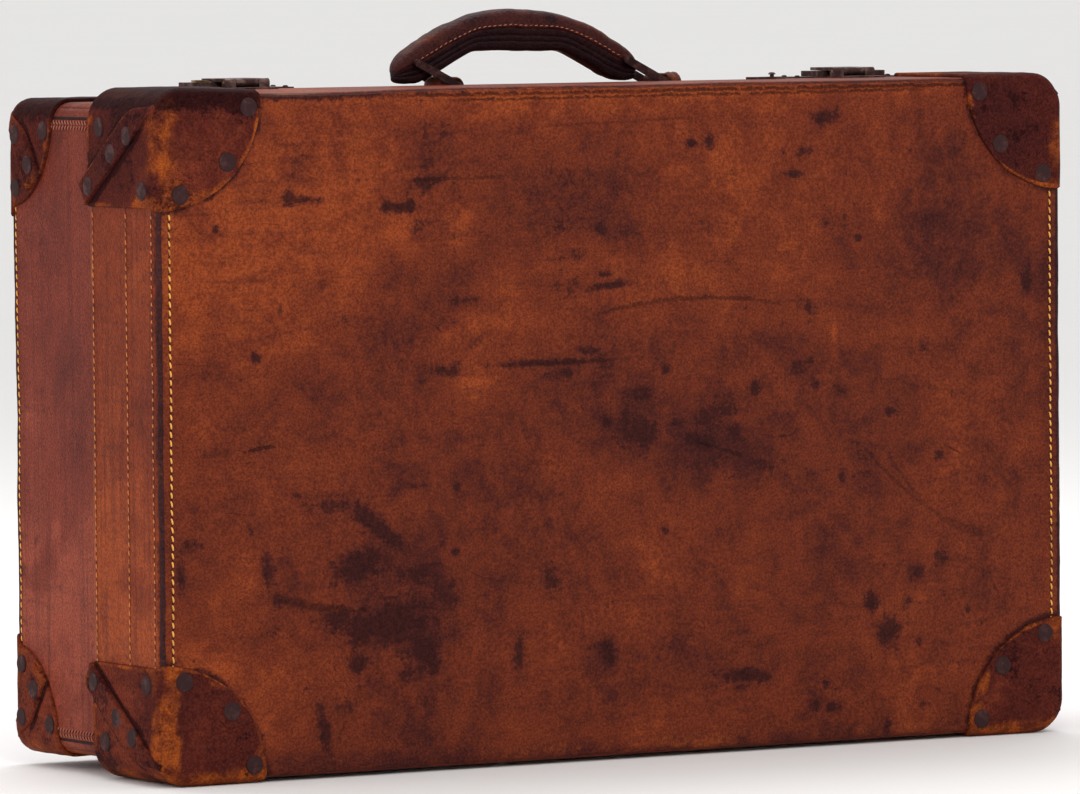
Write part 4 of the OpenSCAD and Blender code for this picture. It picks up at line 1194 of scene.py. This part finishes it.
face_panel("lid_front_skin", lid, "lid_front_leather", True, 2.2 * MM)
face_panel("base_back_skin", base, "base_back_leather", False, 5 * MM)
for side in ("top", "bottom", "left", "right"):
    rim_panel(lid, side, f"lid_{side}_leather", hides["rim"], "hide")
    hide, slot_name = ("end", "end_hide") if side in ("left", "right") else ("rim", "hide")
    rim_panel(base, side, f"base_{side}_leather", hides[hide], slot_name)
welt(lid, "lid_welt")
welt(base, "base_welt")
for form, start in ((LID_CAP, "lid"), (BASE_CAP, "base")):
    for sx, end in ((-1, "left"), (1, "right")):
        for sz, level in ((-1, "bottom"), (1, "top")):
            corner_cap(form, sx, sz, f"{start}_cap_{level}_{end}")
    cap_rivet_heads(form, f"{start}_cap_rivets")
sew_lid()
sew_base()
handle_grip()
for side, name in CHAPES:
    handle_chape(side, name)
chape_studs()

# CAD nodes that keep their shape get their materials
CAD_LOOKS = {
    "fibre_board": fibre_board,
    "lining_cloth": lining_cloth,
    "old_brass": old_brass,
    "old_steel": dark_steel,
    "rivet_metal": rivet_metal,
    "handle_hide": hides["dark"],
    "strap_hide": hides["strap"],
}
for part in frame["record"]["subparts"]:
    look = CAD_LOOKS.get(part["material_slot"])
    node = frame["nodes"][part["node"]]
    if look and not node.hide_render:
        for material_slot in node.material_slots:
            material_slot.material = ring_steel if part["node"].startswith("handle_ring") else look
        if part["material_slot"] in ("old_steel", "old_brass"):
            bevelled(node, 0.35 * MM)


# ---------- floor, light and camera ----------


def stage_floor():
    mesh = bpy.data.meshes.new("floor")
    far, level = 150.0, -0.4 * MM
    corners = [(x * far, y * far, level) for x, y in ((-1, -1), (1, -1), (1, 1), (-1, 1))]
    mesh.from_pydata(corners, [], [(0, 1, 2, 3)])
    floor = bpy.data.objects.new("floor", mesh)
    bpy.context.scene.collection.objects.link(floor)
    g = Graph("floor_paint")
    tone = g.noise(1.2, 3, 0.5)
    paint = g.shader(g.mix(tone, (0.90, 0.89, 0.88, 1), (0.93, 0.92, 0.91, 1)), 0.8, tone, 0.0001)
    # Where something hangs below it, such as the open lid, the floor is left open so that it can be seen
    below = g.made("ShaderNodeAmbientOcclusion", "AO", {"Distance": 1.5}, inside=True, samples=32)
    clear = g.made("ShaderNodeBsdfTransparent", "BSDF")
    mesh.materials.append(g.finish(
        g.made("ShaderNodeMixShader", "Shader", {0: g.band(below, 0.965, 1.0), 1: clear, 2: paint})
    ))


def area_light(name, place, size, power, colour=(1, 1, 1)):
    light = bpy.data.lights.new(name, "AREA")
    light.shape = "RECTANGLE"
    light.size, light.size_y = size
    light.energy = power
    light.color = colour
    lamp = bpy.data.objects.new(name, light)
    bpy.context.scene.collection.objects.link(lamp)
    lamp.location = place
    aim = Vector((0, 0, mid_z)) - Vector(place)
    lamp.rotation_euler = aim.to_track_quat("-Z", "Y").to_euler()


def lights():
    world = bpy.data.worlds.new("studio")
    world.use_nodes = True
    sky = world.node_tree.nodes["Background"].inputs
    sky["Color"].default_value = (1, 1, 1, 1)
    sky["Strength"].default_value = 0.85
    bpy.context.scene.world = world
    area_light("key", (-0.9, -2.7, 1.9), (1.6, 1.6), 30, (1.0, 0.97, 0.93))
    area_light("sky", (0.3, 1.3, 2.5), (2.6, 1.6), 34, (0.98, 0.98, 1.0))
    area_light("end_fill", (-2.7, 0.3, 1.0), (1.2, 1.6), 10, (1.0, 0.95, 0.95))


def camera():
    """The photograph's view: a long lens from the front left, slightly above."""
    yaw, pitch, roll = math.radians(31), math.radians(3.1), math.radians(-0.5)
    distance = 5.85
    back = Vector((-math.sin(yaw) * math.cos(pitch), -math.cos(yaw) * math.cos(pitch), math.sin(pitch)))
    right = Vector((math.cos(yaw), -math.sin(yaw), 0))
    up = back.cross(right)
    side = math.cos(roll) * right + math.sin(roll) * up
    head = math.cos(roll) * up - math.sin(roll) * right
    data = bpy.data.cameras.new("camera")
    data.sensor_width = 36
    data.lens = 300
    data.shift_x, data.shift_y = -0.000555556, 0.015462963
    data.clip_end = 100
    cam = bpy.data.objects.new("camera", data)
    bpy.context.scene.collection.objects.link(cam)
    place = Vector((0, 0, mid_z)) + back * distance
    turn = Matrix((side, head, back)).transposed().to_4x4()
    cam.matrix_world = Matrix.Translation(place) @ turn
    bpy.context.scene.camera = cam


stage_floor()
lights()
camera()
bpy.context.scene.view_settings.view_transform = "Standard"
